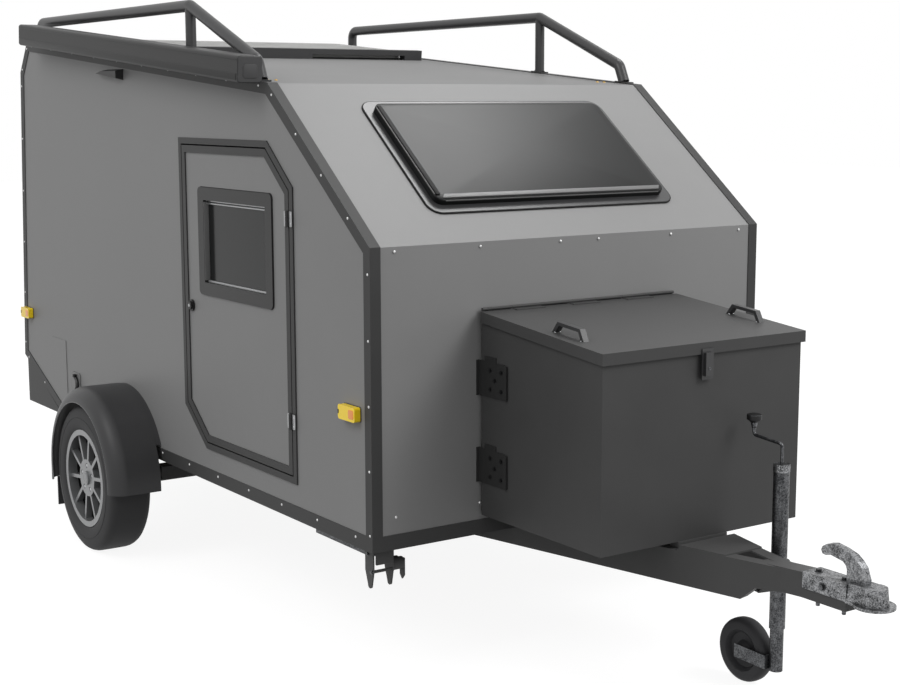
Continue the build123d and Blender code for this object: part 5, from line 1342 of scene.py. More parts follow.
@dataclass
class DoorFittings:
    """The entry door with its hinges and lock.

    Attributes:
        axis_back: Place of the hinge pins behind the front wall.
        knuckle_gap: Distance of the hinge plates' near edges from the pins.
        heights: Middle of each hinge.
        leaf: Width and height of a hinge plate.
        leaf_thick: Its thickness.
        leaf_back: How far outside the wall's skin its back lies.
        screw_reach: Distance of a plate's screws from its middle.
        lock_back: Place of the lock behind the front wall.
        lock_z: Its height.
        barrel: Profile of the lock's barrel, as distance out and radius.
        slit: Width and height of the key slit.
    """

    axis_back: float = 494.5
    knuckle_gap: float = 8.5
    heights: tuple[float, float] = (1395.0, 731.0)
    leaf: tuple[float, float] = (17.0, 50.0)
    leaf_thick: float = 2.2
    leaf_back: float = 7.0
    screw_reach: float = 15.0
    lock_back: float = 1245.0
    lock_z: float = 1037.0
    barrel: tuple[tuple[float, float], ...] = ((-1, 6), (1.4, 6), (2.2, 5.2), (2.2, 0))
    slit: tuple[float, float] = (7, 1.8)

    def build(self) -> None:
        """Dresses the door and adds hinge plates, their screws and the lock's barrel."""
        dress(("door_frame",), DARK_TRIM)
        dress(("door_panel",), DOOR_SKIN)
        dress(("door_edge",), FRAME_COAT)
        dress(("door_lock",), BLACK_ABS)
        self.build_hinges("caravan", -1)
        self.build_hinges("door", 1)
        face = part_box("door_lock")[0][1]
        seat = Seat(Vector((back(self.lock_back), face, self.lock_z * MM)), Vector((1, 0, 0)),
                    Vector((0, 0, 1)))
        Shape().lathe(seat, self.barrel, 24).slab(seat.moved(0, 0, 1.6), *self.slit, 0.8, 1.0, 0.3
                                                  ).piece("door_lock_barrel", ANODISED, "door",
                                                          "plated_steel")

    def build_hinges(self, body: str, way: int) -> None:
        """Adds one body's half of both hinges.

        Args:
            body: The body that the plates ride on.
            way: -1 for the plates ahead of the pins and 1 for those behind.
        """
        plates = Shape()
        rows = []
        width, height = self.leaf
        for z_mm in self.heights:
            seat = right_wall(self.axis_back + way * (width / 2 + self.knuckle_gap), z_mm, self.leaf_back)
            plates.slab(seat, width, height, 3, self.leaf_thick, 0.8)
            low, high = (seat.point(0, reach, self.leaf_thick)
                         for reach in (-self.screw_reach, self.screw_reach))
            rows.append(Row(low, seat.out, high, 2))
        plates.piece(body + "_hinge_plates", ANODISED, body, "alloy")
        Fasteners(body + "_hinge_screws", Head.DOME_RIVET, 3.0, 1.4, BRIGHT_ZINC
                  ).place(rows, body, "plated_steel")


@dataclass
class Roof:
    """Awning, rails and hatch, with their screws and end caps.

    Attributes:
        pitch_deg: Slope of the roof.
        roof_foot: Where the roof begins behind the front wall, and the height of its skin there.
        awning_start: Where the awning starts, behind the front wall.
        awning_length: Its length along the roof.
        awning_height: Its height.
        awning_middle: Distance of its middle from the caravan's.
        awning_half: Half its depth.
        cap: Width, height and corner radius of an end cap.
        cap_boss: The same of the raised boss on it.
        boss_shift: How far the boss lies under the cap's middle.
        foot_backs: Place of each rail's bolted feet.
        rail_side: Distance of the rails from the middle.
        foot_bolt_reach: Distance of a foot's bolts from its middle.
        foot_plate: Thickness of a foot's plate, over the skin.
        screw_backs: Places of the yellow screws behind the front wall.
        screw_sides: Their distances from the middle.
        hatch_back: Place of the hatch's middle.
        hatch_face: Height of the lid's face above the skin.
        rib_shifts: Places of the lid's ribs along the roof.
        rib: Width, length and corner radius of a rib.
        seal_outer: Width, height and corner radius of the lid's seal outside.
        seal_inner: The same inside.
    """

    pitch_deg: float = 5.05
    roof_foot: tuple[float, float] = (629.0, 1827.0)
    awning_start: float = 640.0
    awning_length: float = 2045.0
    awning_height: float = 87.0
    awning_middle: float = 858.0
    awning_half: float = 45.0
    cap: tuple[float, float, float] = (88, 85, 12)
    cap_boss: tuple[float, float, float] = (52, 46, 10)
    boss_shift: float = 6.0
    foot_backs: tuple[float, ...] = (1238.0, 2735.0)
    rail_side: float = 779.0
    foot_bolt_reach: float = 27.0
    foot_plate: float = 8.0
    screw_backs: tuple[float, float] = (761.0, 764.0)
    screw_sides: tuple[float, float] = (726.0, 695.0)
    hatch_back: float = 2325.0
    hatch_face: float = 36.5
    rib_shifts: tuple[float, ...] = (-162, -54, 54, 162)
    rib: tuple[float, float, float] = (26, 1120, 12)
    seal_outer: tuple[float, float, float] = (592, 1262, 38)
    seal_inner: tuple[float, float, float] = (566, 1236, 28)

    def build(self) -> None:
        """Dresses the roof's pieces, and adds end caps, the lead rail and screws."""
        dress(("awning_cassette",), AWNING_COAT)
        dress(("roof_rail_right", "roof_rail_left", "roof_hatch_bar"), RAIL_COAT)
        dress(("roof_hatch_lid",), LID_ABS)
        self.build_awning()
        self.build_screws()
        self.build_hatch()

    def spot(self, back_mm: float, y_mm: float, raised_mm: float = 0.0) -> Vector:
        """Finds a point on the roof's skin, or above it.

        Args:
            back_mm: Its distance behind the front wall.
            y_mm: Its distance from the middle, to the left.
            raised_mm: How far it lies above the skin.

        Returns:
            The point, in metres.
        """
        start, start_z = self.roof_foot
        rise = (back_mm - start) * math.tan(math.radians(self.pitch_deg))
        return Vector((back(back_mm), y_mm * MM, (start_z + rise + raised_mm) * MM))

    def directions(self) -> tuple[Vector, Vector]:
        """Forward along the roof, and square off it."""
        pitch = math.radians(self.pitch_deg)
        return (Vector((math.cos(pitch), 0, -math.sin(pitch))),
                Vector((math.sin(pitch), 0, math.cos(pitch))))

    def build_awning(self) -> None:
        """Adds the moulded end caps and the lead rail along the cassette's outer face."""
        along, up = self.directions()
        front = self.spot(self.awning_start, -self.awning_middle) + up * self.awning_height / 2 * MM
        length = self.awning_length
        caps = Shape()
        for shift, way in ((0.0, 1), (-length, -1)):
            seat = Seat(front + along * shift * MM, Vector((0, way, 0)), up)
            caps.slab(seat.moved(0, 0, -1), *self.cap, 4, 2.0, 0.6)
            caps.slab(seat.moved(0, -self.boss_shift, 2), *self.cap_boss, 3, 1.2)
        caps.piece("awning_end_caps", END_CAP_ABS, "caravan", "black_plastic")
        middle = front - along * length / 2 * MM - Vector((0, self.awning_half * MM, 0))
        run = Seat(middle, along, up)
        Shape().slab(run.moved(0, -25, -2.5), length - 16, 22, 3, 4.0, 1.2
                     ).slab(run.moved(0, 30, -2.5), length - 16, 3, 1, 3.6, 0.6
                            ).piece("awning_lead_rail", AWNING_COAT, "caravan", "awning_case")

    def build_screws(self) -> None:
        """Sets yellow screws by the front feet and black bolts on the plates of the other feet."""
        out = self.directions()[1]
        yellow = []
        black = []
        for side in (-1, 1):
            for back_mm, y_mm in zip(self.screw_backs, self.screw_sides):
                yellow.append(Row(self.spot(back_mm, side * y_mm), out))
            for foot in self.foot_backs:
                for reach in (-self.foot_bolt_reach, self.foot_bolt_reach):
                    black.append(Row(self.spot(foot + reach, side * self.rail_side, self.foot_plate), out))
        Fasteners("roof_screws", Head.DOME_RIVET, 6.5, 4.0, PASSIVATED
                  ).place(yellow, "caravan", "plated_steel")
        Fasteners("rail_foot_bolts", Head.HEX_BOLT, 4.6, 4.0, BLACK_ABS
                  ).place(black, "caravan", "rail_paint")

    def build_hatch(self) -> None:
        """Adds the rubber seal round the hatch lid, and the ribs pressed into the lid."""
        seat = Seat(self.spot(self.hatch_back, 0), self.directions()[0], Vector((0, 1, 0)))
        Shape().ring(seat, self.seal_outer, self.seal_inner, 6.0, 1.5
                     ).piece("hatch_seal", SEAL_RUBBER, "caravan", "black_plastic")
        ribs = Shape()
        for shift in self.rib_shifts:
            ribs.slab(seat.moved(shift, 0, self.hatch_face), *self.rib, 4.0, 1.5, 0.5)
        ribs.piece("hatch_lid_ribs", LID_ABS, "caravan", "hatch_shell")


@dataclass
class Lamps:
    """Marker lamps on the sides, tail lamps, vent and power inlet.

    Attributes:
        marker_backs: Place of the marker lamps behind the front wall.
        marker_z: Their height.
        marker_proud: How far they stand off the wall.
        marker_base: Width, height, corner radius and thickness of a marker's base.
        marker_end: The same of the black block at its rear end.
        end_shift: Distance of that block from the lamp's middle.
        patch: Width, height, corner radius and thickness of the orange reflector.
        patch_shift: Its distance from the lamp's middle.
        skirt_back: Place of the skirt's rear face.
        tail_side: Distance of the tail lamps from the middle.
        tail_z: Their height.
        lens_height: Height of their lenses.
        lens_corner: Corner radius of a lens.
        lens_proud: Thickness of a lens at its rim.
        tail_base: Width, height, corner radius and thickness of a tail lamp's base.
        inlet: Place of the power inlet behind the front wall, and its height.
        collar: Profile of its collar, as distance out and radius.
    """

    marker_backs: tuple[float, float] = (114.0, 2985.0)
    marker_z: float = 822.0
    marker_proud: float = 24.0
    marker_base: tuple[float, float, float, float] = (103, 49, 8, 2.5)
    marker_end: tuple[float, float, float, float] = (7, 14, 3, 22.8)
    end_shift: float = 47.5
    patch: tuple[float, float, float, float] = (30, 28, 5, 2.2)
    patch_shift: float = 28.0
    skirt_back: float = 3036.0
    tail_side: float = 620.0
    tail_z: float = 505.0
    lens_height: float = 88.0
    lens_corner: float = 9.0
    lens_proud: float = 24.0
    tail_base: tuple[float, float, float, float] = (210, 100, 12, 14)
    inlet: tuple[float, float] = (2430.0, 575.0)
    collar: tuple[tuple[float, float], ...] = ((-1, 33), (3.5, 33), (5.0, 31.5), (5.0, 28.6), (-1, 28.6))

    def build(self) -> None:
        """Dresses the lamps and fittings and adds their smaller pieces."""
        dress(("marker_lamps",), AMBER_LENS)
        dress(("tail_lamps",), RED_LENS)
        dress(("vent_cowl",), BLACK_ABS)
        dress(("power_inlet",), INLET_ABS)
        self.build_markers()
        self.build_tails()
        self.build_fittings()

    def build_markers(self) -> None:
        """Adds a black base and an orange reflector to each marker lamp."""
        bases = Shape()
        patches = Shape()
        for wall, way in ((right_wall, 1), (left_wall, -1)):
            for place in self.marker_backs:
                seat = wall(place, self.marker_z)
                bases.slab(seat, *self.marker_base)
                bases.slab(seat.moved(-way * self.end_shift, 0, 2), *self.marker_end, 0.8)
                patches.slab(seat.moved(way * self.patch_shift, 0, self.marker_proud - 1), *self.patch,
                             0.8, 0.4)
        bases.piece("marker_lamp_bases", BLACK_ABS, "caravan", "black_plastic")
        patches.piece("marker_reflectors", ORANGE_LENS, "caravan", "amber_lens")

    def build_tails(self) -> None:
        """Divides each tail lamp into brake, indicator and reversing lenses on one base."""
        self.build_lenses("tail_brake_lenses", -8, 82, 2.5, RED_LENS, "red_lens", "tail_lamps")
        self.build_lenses("tail_indicator_lenses", -76, 52, 2.0, ORANGE_LENS, "amber_lens")
        self.build_lenses("tail_reversing_lenses", 69, 66, 2.0, CLEAR_LENS, "red_lens")
        bases = Shape()
        for side in (-1, 1):
            bases.slab(facing_rear(self.skirt_back, side * self.tail_side, self.tail_z), *self.tail_base,
                       2.0)
        bases.piece("tail_lamp_bases", BLACK_ABS, "caravan", "black_plastic")

    def build_lenses(self, name: str, shift: float, width: float, crown: float, finish: Surface,
                     slot: str, *nodes: str) -> None:
        """Makes one kind of lens for both tail lamps.

        Args:
            name: The piece's name.
            shift: Its distance from a lamp's middle, away from the caravan's middle if negative.
            width: Its width.
            crown: How far it bulges.
            finish: Its finish.
            slot: The record's material slot.
            *nodes: CAD nodes that it replaces.
        """
        lenses = Shape()
        for side in (-1, 1):
            seat = facing_rear(self.skirt_back, side * self.tail_side, self.tail_z)
            lenses.slab(seat.moved(side * shift, 0), width, self.lens_height, self.lens_corner,
                        self.lens_proud, 2.0, crown)
        lenses.piece(name, finish, "caravan", slot, *nodes)

    def build_fittings(self) -> None:
        """Adds the rubber collar of the power inlet's cap and its hinge."""
        seat = right_wall(*self.inlet, 4.0)
        Shape().lathe(seat, self.collar, 32, closed=True
                      ).slab(seat.moved(0, 33, -1), 22, 12, 3, 12.0, 1.5
                             ).piece("inlet_collar", SEAL_RUBBER, "caravan", "black_plastic")


@dataclass
class RunningGear:
    """Chassis, axle, wheels and mudguards, and the finish of the steadies.

    Attributes:
        axle_back: Place of the axle behind the front wall.
        wheel_z: Height of the wheels' middle.
        wheel_side: Distance of the wheels' middle plane from the caravan's.
        tread: Half profile of the tyre outside, as distance from its middle plane and radius.
        cavity: Half profile of the tyre inside.
        bolt_count: Bolts on a wheel.
        bolt_circle: Radius of their circle.
        bolt_face: How far outside the wheel's middle plane their heads sit.
        cap_face: The same of the middle cap.
        cap: Profile of that cap, as distance out and radius.
        barrel: Closed profile of the near-black liner and disc behind the spokes, which paint the shade
            inside the rim, likewise.
        guard_z: Height of the mudguard's middle.
        lip_radius: Radius of its outer edge.
        guard_face: Distance of that edge from the caravan's middle.
        bead_radius: Radius of the bead along it.
        bead_turn: Angles of the bead's front and rear end.
        bead_steps: Straight pieces of the bead.
    """

    axle_back: float = 1877.0
    wheel_z: float = 292.8
    wheel_side: float = 912.5
    tread: tuple[tuple[float, float], ...] = (
        (20.0, 292.8), (46.0, 292.5), (56.0, 291.6), (66.0, 288.4), (74.5, 283.2), (80.5, 275.0),
        (83.4, 266.0), (85.8, 252.0), (86.6, 245.0), (86.8, 243.6), (85.4, 242.4), (85.4, 240.0),
        (87.1, 238.6), (87.3, 234.0), (87.0, 226.0), (85.6, 214.0), (83.4, 206.0), (81.2, 201.0),
        (79.6, 199.0), (79.0, 196.4),
    )
    cavity: tuple[tuple[float, float], ...] = ((75.0, 196.4), (72.0, 208.0), (72.0, 232.0), (62.0, 268.0))
    bolt_count: int = 5
    bolt_circle: float = 50.0
    bolt_face: float = 58.0
    cap_face: float = 76.0
    cap: tuple[tuple[float, float], ...] = (
        (-2, 22), (0.4, 22), (1.2, 20.5), (1.2, 16), (0.4, 14), (0.8, 8), (1.0, 0),
    )
    barrel: tuple[tuple[float, float], ...] = (
        (42, 171.8), (42, 170.8), (38, 170.2), (-40, 170.2), (-44, 167), (-44, 60), (-46, 60), (-46, 171.8),
    )
    guard_z: float = 302.0
    lip_radius: float = 296.0
    guard_face: float = 1015.0
    bead_radius: float = 2.6
    bead_turn: tuple[float, float] = (-2.5, 193.0)
    bead_steps: int = 72

    def build(self) -> None:
        """Dresses the gear, and builds the tyres, wheel bolts and mudguard beads."""
        dress(("chassis", "axle", "steady_brackets"), CHASSIS_COAT)
        dress(("mudguard_right", "mudguard_left"), GUARD_ABS)
        dress(("rim_right", "rim_left"), CAST_ALLOY)
        dress(("steady_leg_front_right", "steady_leg_front_left", "steady_leg_rear_right",
               "steady_leg_rear_left"), JACK_ZINC)
        for name, side in (("right", -1), ("left", 1)):
            self.build_wheel(name, side)
            self.build_bead(name, side)

    def build_wheel(self, name: str, side: int) -> None:
        """Turns one tyre, the rim's cap and the near-black liner that paints shade inside the rim, and sets
        the wheel's bolts.

        Args:
            name: The wheel's side, as its nodes are named.
            side: -1 on the right and 1 on the left.
        """
        seat = Seat(Vector((back(self.axle_back), side * self.wheel_side * MM, self.wheel_z * MM)),
                    Vector((-side, 0, 0)), Vector((0, 0, 1)))
        body = "wheel_" + name
        outside = [(-y, r) for y, r in reversed(self.tread)] + list(self.tread)
        inside = list(self.cavity) + [(-y, r) for y, r in reversed(self.cavity)]
        Shape().lathe(seat, outside + inside, 120, closed=True
                      ).piece("road_tyre_" + name, TYRE_RUBBER, body, "tyre", "tyre_" + name,
                              sharp_deg=28.0)
        turns = [math.radians(90 + 360 / self.bolt_count * k) for k in range(self.bolt_count)]
        bolts = [Row(seat.point(self.bolt_circle * math.cos(turn), self.bolt_circle * math.sin(turn),
                                self.bolt_face), seat.out) for turn in turns]
        Fasteners("wheel_bolts_" + name, Head.HEX_BOLT, 7.0, 9.0, BRIGHT_ZINC
                  ).place(bolts, body, "plated_steel")
        Shape().lathe(seat.moved(0, 0, self.cap_face), self.cap, 32
                      ).piece("wheel_cap_" + name, CAST_ALLOY, body, "alloy")
        # A near-black liner and disc behind the spokes paint the shade inside the rim.
        Shape().lathe(seat, self.barrel, 72, closed=True
                      ).piece("rim_shade_liner_" + name, RIM_PAINTED_SHADE, body, "black_plastic")

    def build_bead(self, name: str, side: int) -> None:
        """Runs a rolled bead along one mudguard's outer edge, pale as a painted highlight.

        Args:
            name: The mudguard's side, as its node is named.
            side: -1 on the right and 1 on the left.
        """
        middle = Vector((back(self.axle_back), side * (self.guard_face - self.bead_radius) * MM,
                         self.guard_z * MM))
        first, last = (math.radians(turn) for turn in self.bead_turn)
        path = []
        for k in range(self.bead_steps + 1):
            turn = first + (last - first) * k / self.bead_steps
            path.append(middle + Vector((math.cos(turn), 0, math.sin(turn))) * (self.lip_radius + 1) * MM)
        Shape().tube(path, self.bead_radius, 8
                     ).piece("mudguard_bead_" + name, GUARD_EDGE_HIGHLIGHT, "caravan", "guard_plastic")


@dataclass
class Steadies:
    """Nuts, webs and sleeves of the corner steadies.

    Attributes:
        backs: Place of each pair behind the front wall.
        side: Distance of their middle from the caravan's.
        half_gap: Half the distance between the cheeks' outer faces.
        pivot_z: Height of the pivot.
        stop_z: Height of the stop bolt.
        stop_front: How far the stop bolt lies ahead of the pivot.
        web: Width, height, corner radius and thickness of the web between the cheeks.
        web_front: How far the web lies ahead of the pivot.
        web_z: Its height.
        sleeve_start: Distance of the sleeve's inner end from the steady's middle.
        sleeve_z: Height of the sleeve.
        sleeve: Closed profile of the sleeve, as distance along it and radius.
    """

    backs: tuple[float, float] = (80.0, 2440.0)
    side: float = 731.0
    half_gap: float = 38.0
    pivot_z: float = 378.0
    stop_z: float = 323.0
    stop_front: float = 24.0
    web: tuple[float, float, float, float] = (62, 52, 4, 4.0)
    web_front: float = 34.0
    web_z: float = 372.0
    sleeve_start: float = 44.0
    sleeve_z: float = 333.0
    sleeve: tuple[tuple[float, float], ...] = (
        (0, 13.5), (0, 19.6), (1.5, 21), (26, 21), (27.5, 19.6), (27.5, 13.5),
    )

    def build(self) -> None:
        """Adds nuts on the cheeks' outer faces, and the web and sleeve between them."""
        nuts = []
        webs = Shape()
        sleeves = Shape()
        for side in (-1, 1):
            for place in self.backs:
                nuts += self.nut_rows(side, place)
                webs.slab(facing_front(self.web_front - place, side * self.side, self.web_z), *self.web)
                inner = Seat(Vector((back(place), side * (self.side - self.sleeve_start) * MM,
                                     self.sleeve_z * MM)), Vector((side, 0, 0)), Vector((0, 0, 1)))
                sleeves.lathe(inner, self.sleeve, 28, closed=True)
        Fasteners("steady_nuts", Head.HEX_BOLT, 6.0, 5.0, JACK_ZINC).place(nuts, "caravan", "plated_steel")
        webs.piece("steady_webs", CHASSIS_COAT, "caravan", "rail_paint")
        sleeves.piece("steady_sleeves", GALVANISED, "caravan", "plated_steel")

    def nut_rows(self, side: int, place: float) -> list[Row]:
        """The nuts of one steady, at its pivot and at its stop.

        Args:
            side: -1 on the right and 1 on the left.
            place: The steady's place behind the front wall.

        Returns:
            One row for each nut.
        """
        rows = []
        for z_mm, front in ((self.pivot_z, 0.0), (self.stop_z, self.stop_front)):
            for way in (-1, 1):
                y_mm = side * self.side + way * self.half_gap
                rows.append(Row(Vector((back(place - front), y_mm * MM, z_mm * MM)), Vector((0, way, 0))))
        return rows


@dataclass
class Drawbar:
    """Coupling, storage box and its brackets.

    Attributes:
        bolt_aheads: Place of the coupling's upright bolts ahead of the wall.
        housing_top: Height of the housing's top.
        stud: Height of a bolt's lower end, and its profile as distance up and radius.
        stud_nut: The same of the nut on it.
        side_bolt: Place of the coupling's side bolts: ahead, distance from the middle, height.
        box_side: Distance of the box's sides from the middle.
        plate_heights: Middle height of each bracket.
        plate_thick: Thickness of a bracket's plate.
        plate_bolts: Places of its bolts: ahead of the wall, and up from its middle.
        lid_pitch: Slope of the lid.
        lid_foot: Where the lid's skin ends at the wall: ahead, and height.
        handle_side: Distance of the lid's handles from the middle.
        handle_down: Distance of their middle down the lid.
        handle_foot: Distance of a handle's feet from its middle.
        screw_reach: Distance of a foot's screws from its middle.
        latch: Place of the latch's barrel: distance from the middle, and height.
        barrel: Profile of that barrel, as distance out and radius.
    """

    bolt_aheads: tuple[float, float] = (1068.0, 1163.0)
    housing_top: float = 473.5
    stud: tuple[float, tuple[tuple[float, float], ...]] = (
        375.0, ((0, 0), (0, 4.8), (1.2, 6), (24, 6), (24, 0)),
    )
    stud_nut: tuple[float, tuple[tuple[float, float], ...]] = (388.0, ((0, 0), (0, 10), (8, 10), (8, 0)))
    side_bolt: tuple[float, float, float] = (1115.0, 36.0, 447.0)
    box_side: float = 398.5
    plate_heights: tuple[float, float] = (909.0, 629.0)
    plate_thick: float = 3.0
    plate_bolts: tuple[tuple[float, float], ...] = ((60, 30), (60, -30), (84, 0), (118, 30), (118, -30))
    lid_pitch: float = 5.615
    lid_foot: tuple[float, float] = (10.0, 1120.5)
    handle_side: float = 355.0
    handle_down: float = 391.0
    handle_foot: float = 62.0
    screw_reach: float = 9.0
    latch: tuple[float, float] = (-7.5, 984.0)
    barrel: tuple[tuple[float, float], ...] = ((-2, 5), (1.0, 5), (1.6, 4.2), (1.6, 0))

    def build(self) -> None:
        """Dresses the drawbar's pieces and adds bolts, the latch's barrel and handle screws."""
        dress(("coupling",), GALVANISED)
        dress(("storage_box", "box_lid"), BOX_COAT)
        dress(("box_brackets",), BRACKET_COAT)
        dress(("lid_hardware",), RAIL_COAT)
        self.build_coupling_bolts()
        self.build_bracket_bolts()
        self.build_box_details()

    def build_coupling_bolts(self) -> None:
        """Sets the upright bolts through the coupling's housing, and a bolt in each side."""
        heads = []
        ends = Shape()
        for place in self.bolt_aheads:
            heads.append(Row(Vector((ahead(place), 0, self.housing_top * MM)), Vector((0, 0, 1))))
            for (foot, profile), sides in ((self.stud, 20), (self.stud_nut, 6)):
                ends.lathe(facing_up(place, 0, foot), profile, sides)
        place, reach, z_mm = self.side_bolt
        for side in (-1, 1):
            heads.append(Row(Vector((ahead(place), side * reach * MM, z_mm * MM)), Vector((0, side, 0))))
        Fasteners("coupling_bolts", Head.HEX_BOLT, 8.5, 8.0, JACK_ZINC
                  ).place(heads, "caravan", "plated_steel")
        ends.piece("coupling_bolt_ends", JACK_ZINC, "caravan", "plated_steel")

    def build_bracket_bolts(self) -> None:
        """Sets black bolts on the brackets' plates."""
        bolts = []
        for side in (-1, 1):
            face = side * (self.box_side + self.plate_thick) * MM
            for z_mm in self.plate_heights:
                for along, rise in self.plate_bolts:
                    bolts.append(Row(Vector((ahead(along), face, (z_mm + rise) * MM)),
                                     Vector((0, side, 0))))
        Fasteners("bracket_bolts", Head.HEX_BOLT, 5.0, 4.5, BLACK_ABS).place(bolts, "caravan", "box_sheet")

    def build_box_details(self) -> None:
        """Adds screws at the handles' feet and the latch's barrel."""
        start, start_z = self.lid_foot
        lid = tilted(Vector((ahead(start), 0, start_z * MM)), self.lid_pitch)
        reach = Vector((0, self.screw_reach * MM, 0))
        screws = []
        for side in (-1, 1):
            for shift in (-self.handle_foot, self.handle_foot):
                spot = lid.point(side * self.handle_side, shift - self.handle_down, 0.6)
                screws.append(Row(spot + reach, lid.out, spot - reach, 2))
        Fasteners("lid_handle_screws", Head.DOME_RIVET, 3.4, 2.4, BRIGHT_ZINC
                  ).place(screws, "lid", "plated_steel")
        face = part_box("lid_hardware")[1][0]
        y_mm, z_mm = self.latch
        seat = Seat(Vector((face, y_mm * MM, z_mm * MM)), Vector((0, 1, 0)), Vector((0, 0, 1)))
        Shape().lathe(seat, self.barrel, 20).piece("latch_barrel", JACK_ZINC, "lid", "plated_steel")


@dataclass
class JockeyJack:
    """The jack's tubes, fork and wheel.

    Attributes:
        ahead_mm: Place of the jack ahead of the wall.
        side: Its distance from the middle.
        trail: How far the wheel trails behind the swivel.
        radius: Radius of the wheel.
        tyre: Half profile of the solid tyre, as distance from its middle plane and radius.
        tyre_inside: Half profile of its inside.
        hub: Half profile of the hub.
        clamp_heights: Heights of the clamp's bolts.
        clamp_bolt: Place of those bolts: ahead of the jack, and to its right.
        knob_trail: How far the crank's knob lies behind the jack.
        knob: Profile of the knob, as height and radius.
        collar: Closed profile of the collar at the tube's top, likewise.
    """

    ahead_mm: float = 782.0
    side: float = 141.0
    trail: float = 126.0
    radius: float = 100.0
    tyre: tuple[tuple[float, float], ...] = ((25, 66), (25, 84), (23, 91), (18, 96.5), (11, 99.2))
    tyre_inside: tuple[float, float] = (22, 62)
    hub: tuple[tuple[float, float], ...] = (
        (24, 62.5), (21, 60), (9, 54), (7, 30), (23, 21), (25, 18), (25, 8.4),
    )
    clamp_heights: tuple[float, float] = (384.0, 402.0)
    clamp_bolt: tuple[float, float] = (20.0, 29.0)
    knob_trail: float = 117.0
    knob: tuple[tuple[float, float], ...] = (
        (796, 0), (796, 7), (811, 9.5), (817, 16), (822, 22.9), (834, 22.9), (837, 21.6), (838.5, 18),
        (838.8, 0),
    )
    collar: tuple[tuple[float, float], ...] = (
        (684, 24.2), (684, 25.2), (705, 25.2), (707, 24.2), (707, 24.0),
    )

    def build(self) -> None:
        """Dresses the jack, and builds its wheel, knob, collar and clamp bolts."""
        dress(("jack_tube", "jack_inner_tube", "jockey_fork"), JACK_ZINC)
        self.build_wheel()
        front, right = self.clamp_bolt
        bolts = [Row(Vector((ahead(self.ahead_mm + front), (self.side - right) * MM, z_mm * MM)),
                     Vector((0, -1, 0))) for z_mm in self.clamp_heights]
        Fasteners("jack_clamp_bolts", Head.HEX_BOLT, 6.5, 5.5, BRIGHT_ZINC
                  ).place(bolts, "caravan", "plated_steel")
        Shape().lathe(facing_up(self.ahead_mm - self.knob_trail, self.side, 0), self.knob, 32
                      ).piece("jack_crank_knob", BLACK_ABS, "caravan", "black_plastic")
        Shape().lathe(facing_up(self.ahead_mm, self.side, 0), self.collar, 40, closed=True
                      ).piece("jack_top_collar", GALVANISED, "caravan", "plated_steel")

    def build_wheel(self) -> None:
        """Turns the solid tyre and its pressed hub."""
        seat = Seat(Vector((ahead(self.ahead_mm - self.trail), self.side * MM, self.radius * MM)),
                    Vector((1, 0, 0)), Vector((0, 0, 1)))
        left = [(-y, r) for y, r in self.tyre]
        right = list(reversed(self.tyre))
        inside, inside_radius = self.tyre_inside
        tyre = left + [(0, self.radius)] + right + [(inside, inside_radius), (-inside, inside_radius)]
        Shape().lathe(seat, tyre, 64, closed=True
                      ).piece("jockey_tyre", JOCKEY_RUBBER, "jockey", "grey_rubber", "jockey_wheel")
        hub = [(-y, r) for y, r in self.hub] + list(reversed(self.hub))
        Shape().lathe(seat, hub, 48, closed=True
                      ).piece("jockey_hub", JOCKEY_RUBBER, "jockey", "grey_rubber")


def rounding(distance: float, radius: float, least: float = 0.0) -> float:
    """Share of its full height that a rounded edge has this far in.

    Args:
        distance: Distance from the edge.
        radius: Radius of the rounding.
        least: The least that is returned under the root.

    Returns:
        The share, 1 from the radius inwards.
    """
    return math.sqrt(max(1 - (1 - min(distance / radius, 1)) ** 2, least))


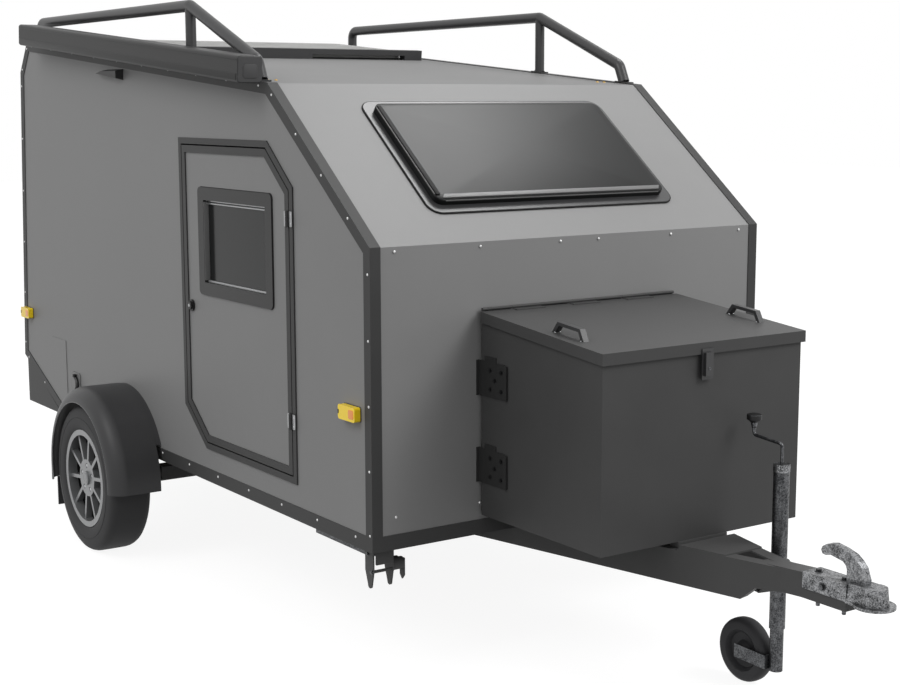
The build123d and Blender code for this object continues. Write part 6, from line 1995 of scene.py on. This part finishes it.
@dataclass
class Cabin:
    """The mattress on the cabin's floor.

    Attributes:
        channel: Spacing of the sewn channels.
        channel_width: Half width of a channel.
        dip: Depth of a channel.
        crown: How far the top swells above the edge.
        edge: Radius of the top's edges.
        foot_edge: Radius of the bottom's edges.
        waist: How far the cover pulls the sides in at half length.
        end_run: Length over which the swelling starts at each end.
        piping: Thickness of the piping.
        rim_corner: Radius of the piping's corners.
        along_steps: Sections along the mattress.
        across_steps: Points across a section.
    """

    channel: float = 195.0
    channel_width: float = 14.0
    dip: float = 14.0
    crown: float = 12.0
    edge: float = 30.0
    foot_edge: float = 16.0
    waist: float = 4.0
    end_run: float = 60.0
    piping: float = 5.0
    rim_corner: float = 40.0
    along_steps: int = 170
    across_steps: int = 22

    def build(self) -> None:
        """Makes the mattress as a crowned pad with sewn channels and piped edges."""
        low, high = (Vector(corner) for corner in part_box("mattress"))
        length, width, height = (high - low) / MM
        places = [length * i / self.along_steps for i in range(self.along_steps + 1)]
        loops = [self.section(low, along, length, width / 2, height) for along in places]
        ends = [[Vector((x, 0, low.z + height / 2 * MM))] for x in (low.x, high.x)]
        pad = Shape().loft([ends[0]] + loops + [ends[1]])
        made = pad.piece("mattress_pad", TICKING, "caravan", "mattress_cloth", "mattress", sharp_deg=80)
        rim_z = low.z + (height - self.crown - 4) * MM
        self.pipe([Vector((low.x + (length / 2 + u) * MM, v * MM, rim_z))
                   for u, v in rounded_loop(length - 4, width - 4, self.rim_corner, 6)])

    def pipe(self, rim: list[Vector]) -> None:
        """Sews a cord of piping along a level loop.

        Args:
            rim: The loop's points, in metres.
        """
        up = Vector((0, 0, 1))
        turns = [math.pi / 4 * k for k in range(8)]
        loops = []
        for i, point in enumerate(rim):
            heading = (rim[(i + 1) % len(rim)] - rim[i - 1]).normalized()
            side = Vector((heading.y, -heading.x, 0))
            loops.append([point + (side * math.cos(turn) + up * math.sin(turn)) * self.piping / 2 * MM
                          for turn in turns])
        Shape().loft(loops, closed=True).piece("mattress_piping", PIPING, "caravan", "mattress_cloth")

    def section(self, low: Vector, along: float, length: float, half: float, height: float) -> list[Vector]:
        """One closed section across the mattress.

        Args:
            low: Its lowest corner, in metres.
            along: Place of the section, in millimetres.
            length: Length of the mattress.
            half: Half its width.
            height: Its height.

        Returns:
            The section's points.
        """
        end = min(along, length - along)
        share = rounding(end, self.edge, 0.02)
        inner = half - self.waist * math.sin(math.pi * along / length) ** 2 - self.edge * (1 - share)
        swell = self.crown * math.sin(math.pi * min(along / length, 1)) ** 0.5
        phase = (along % self.channel) / self.channel
        off_seam = min(phase, 1 - phase) * self.channel
        groove = self.dip * math.exp(-(off_seam / self.channel_width) ** 2)
        top, bottom = [], []
        for k in range(self.across_steps + 1):
            across = math.cos(math.pi * k / self.across_steps)
            full = rounding((1 - abs(across)) * half, self.edge) * share
            lift = (swell - groove) * (1 - across ** 4) * min(end / self.end_run, 1)
            level = height - self.crown - self.edge * (1 - full) + lift
            x, y = low.x + along * MM, across * inner * MM
            top.append(Vector((x, y, low.z + level * MM)))
            bottom.append(Vector((x, y, low.z + self.foot_edge * (1 - full) * MM)))
        return top + bottom[::-1]


def main() -> None:
    """Builds the studio and dresses the caravan, part by part."""
    logging.basicConfig(level=logging.INFO, format="%(message)s")
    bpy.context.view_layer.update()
    door_window = SideWindow("door", "door_window_frame", "door_window_pane", "door", -1)
    left_window = SideWindow("left", "left_window_frame", "left_window_pane", "caravan", 1)
    parts = (Studio(), BodyShell(), DoorFittings(), door_window, left_window, FrontWindow(), Roof(),
             Lamps(), RunningGear(), Steadies(), Drawbar(), JockeyJack(), Cabin())
    for part in parts:
        part.build()
        LOG.info("%s is ready", type(part).__name__)


if __name__ == "__main__":
    main()
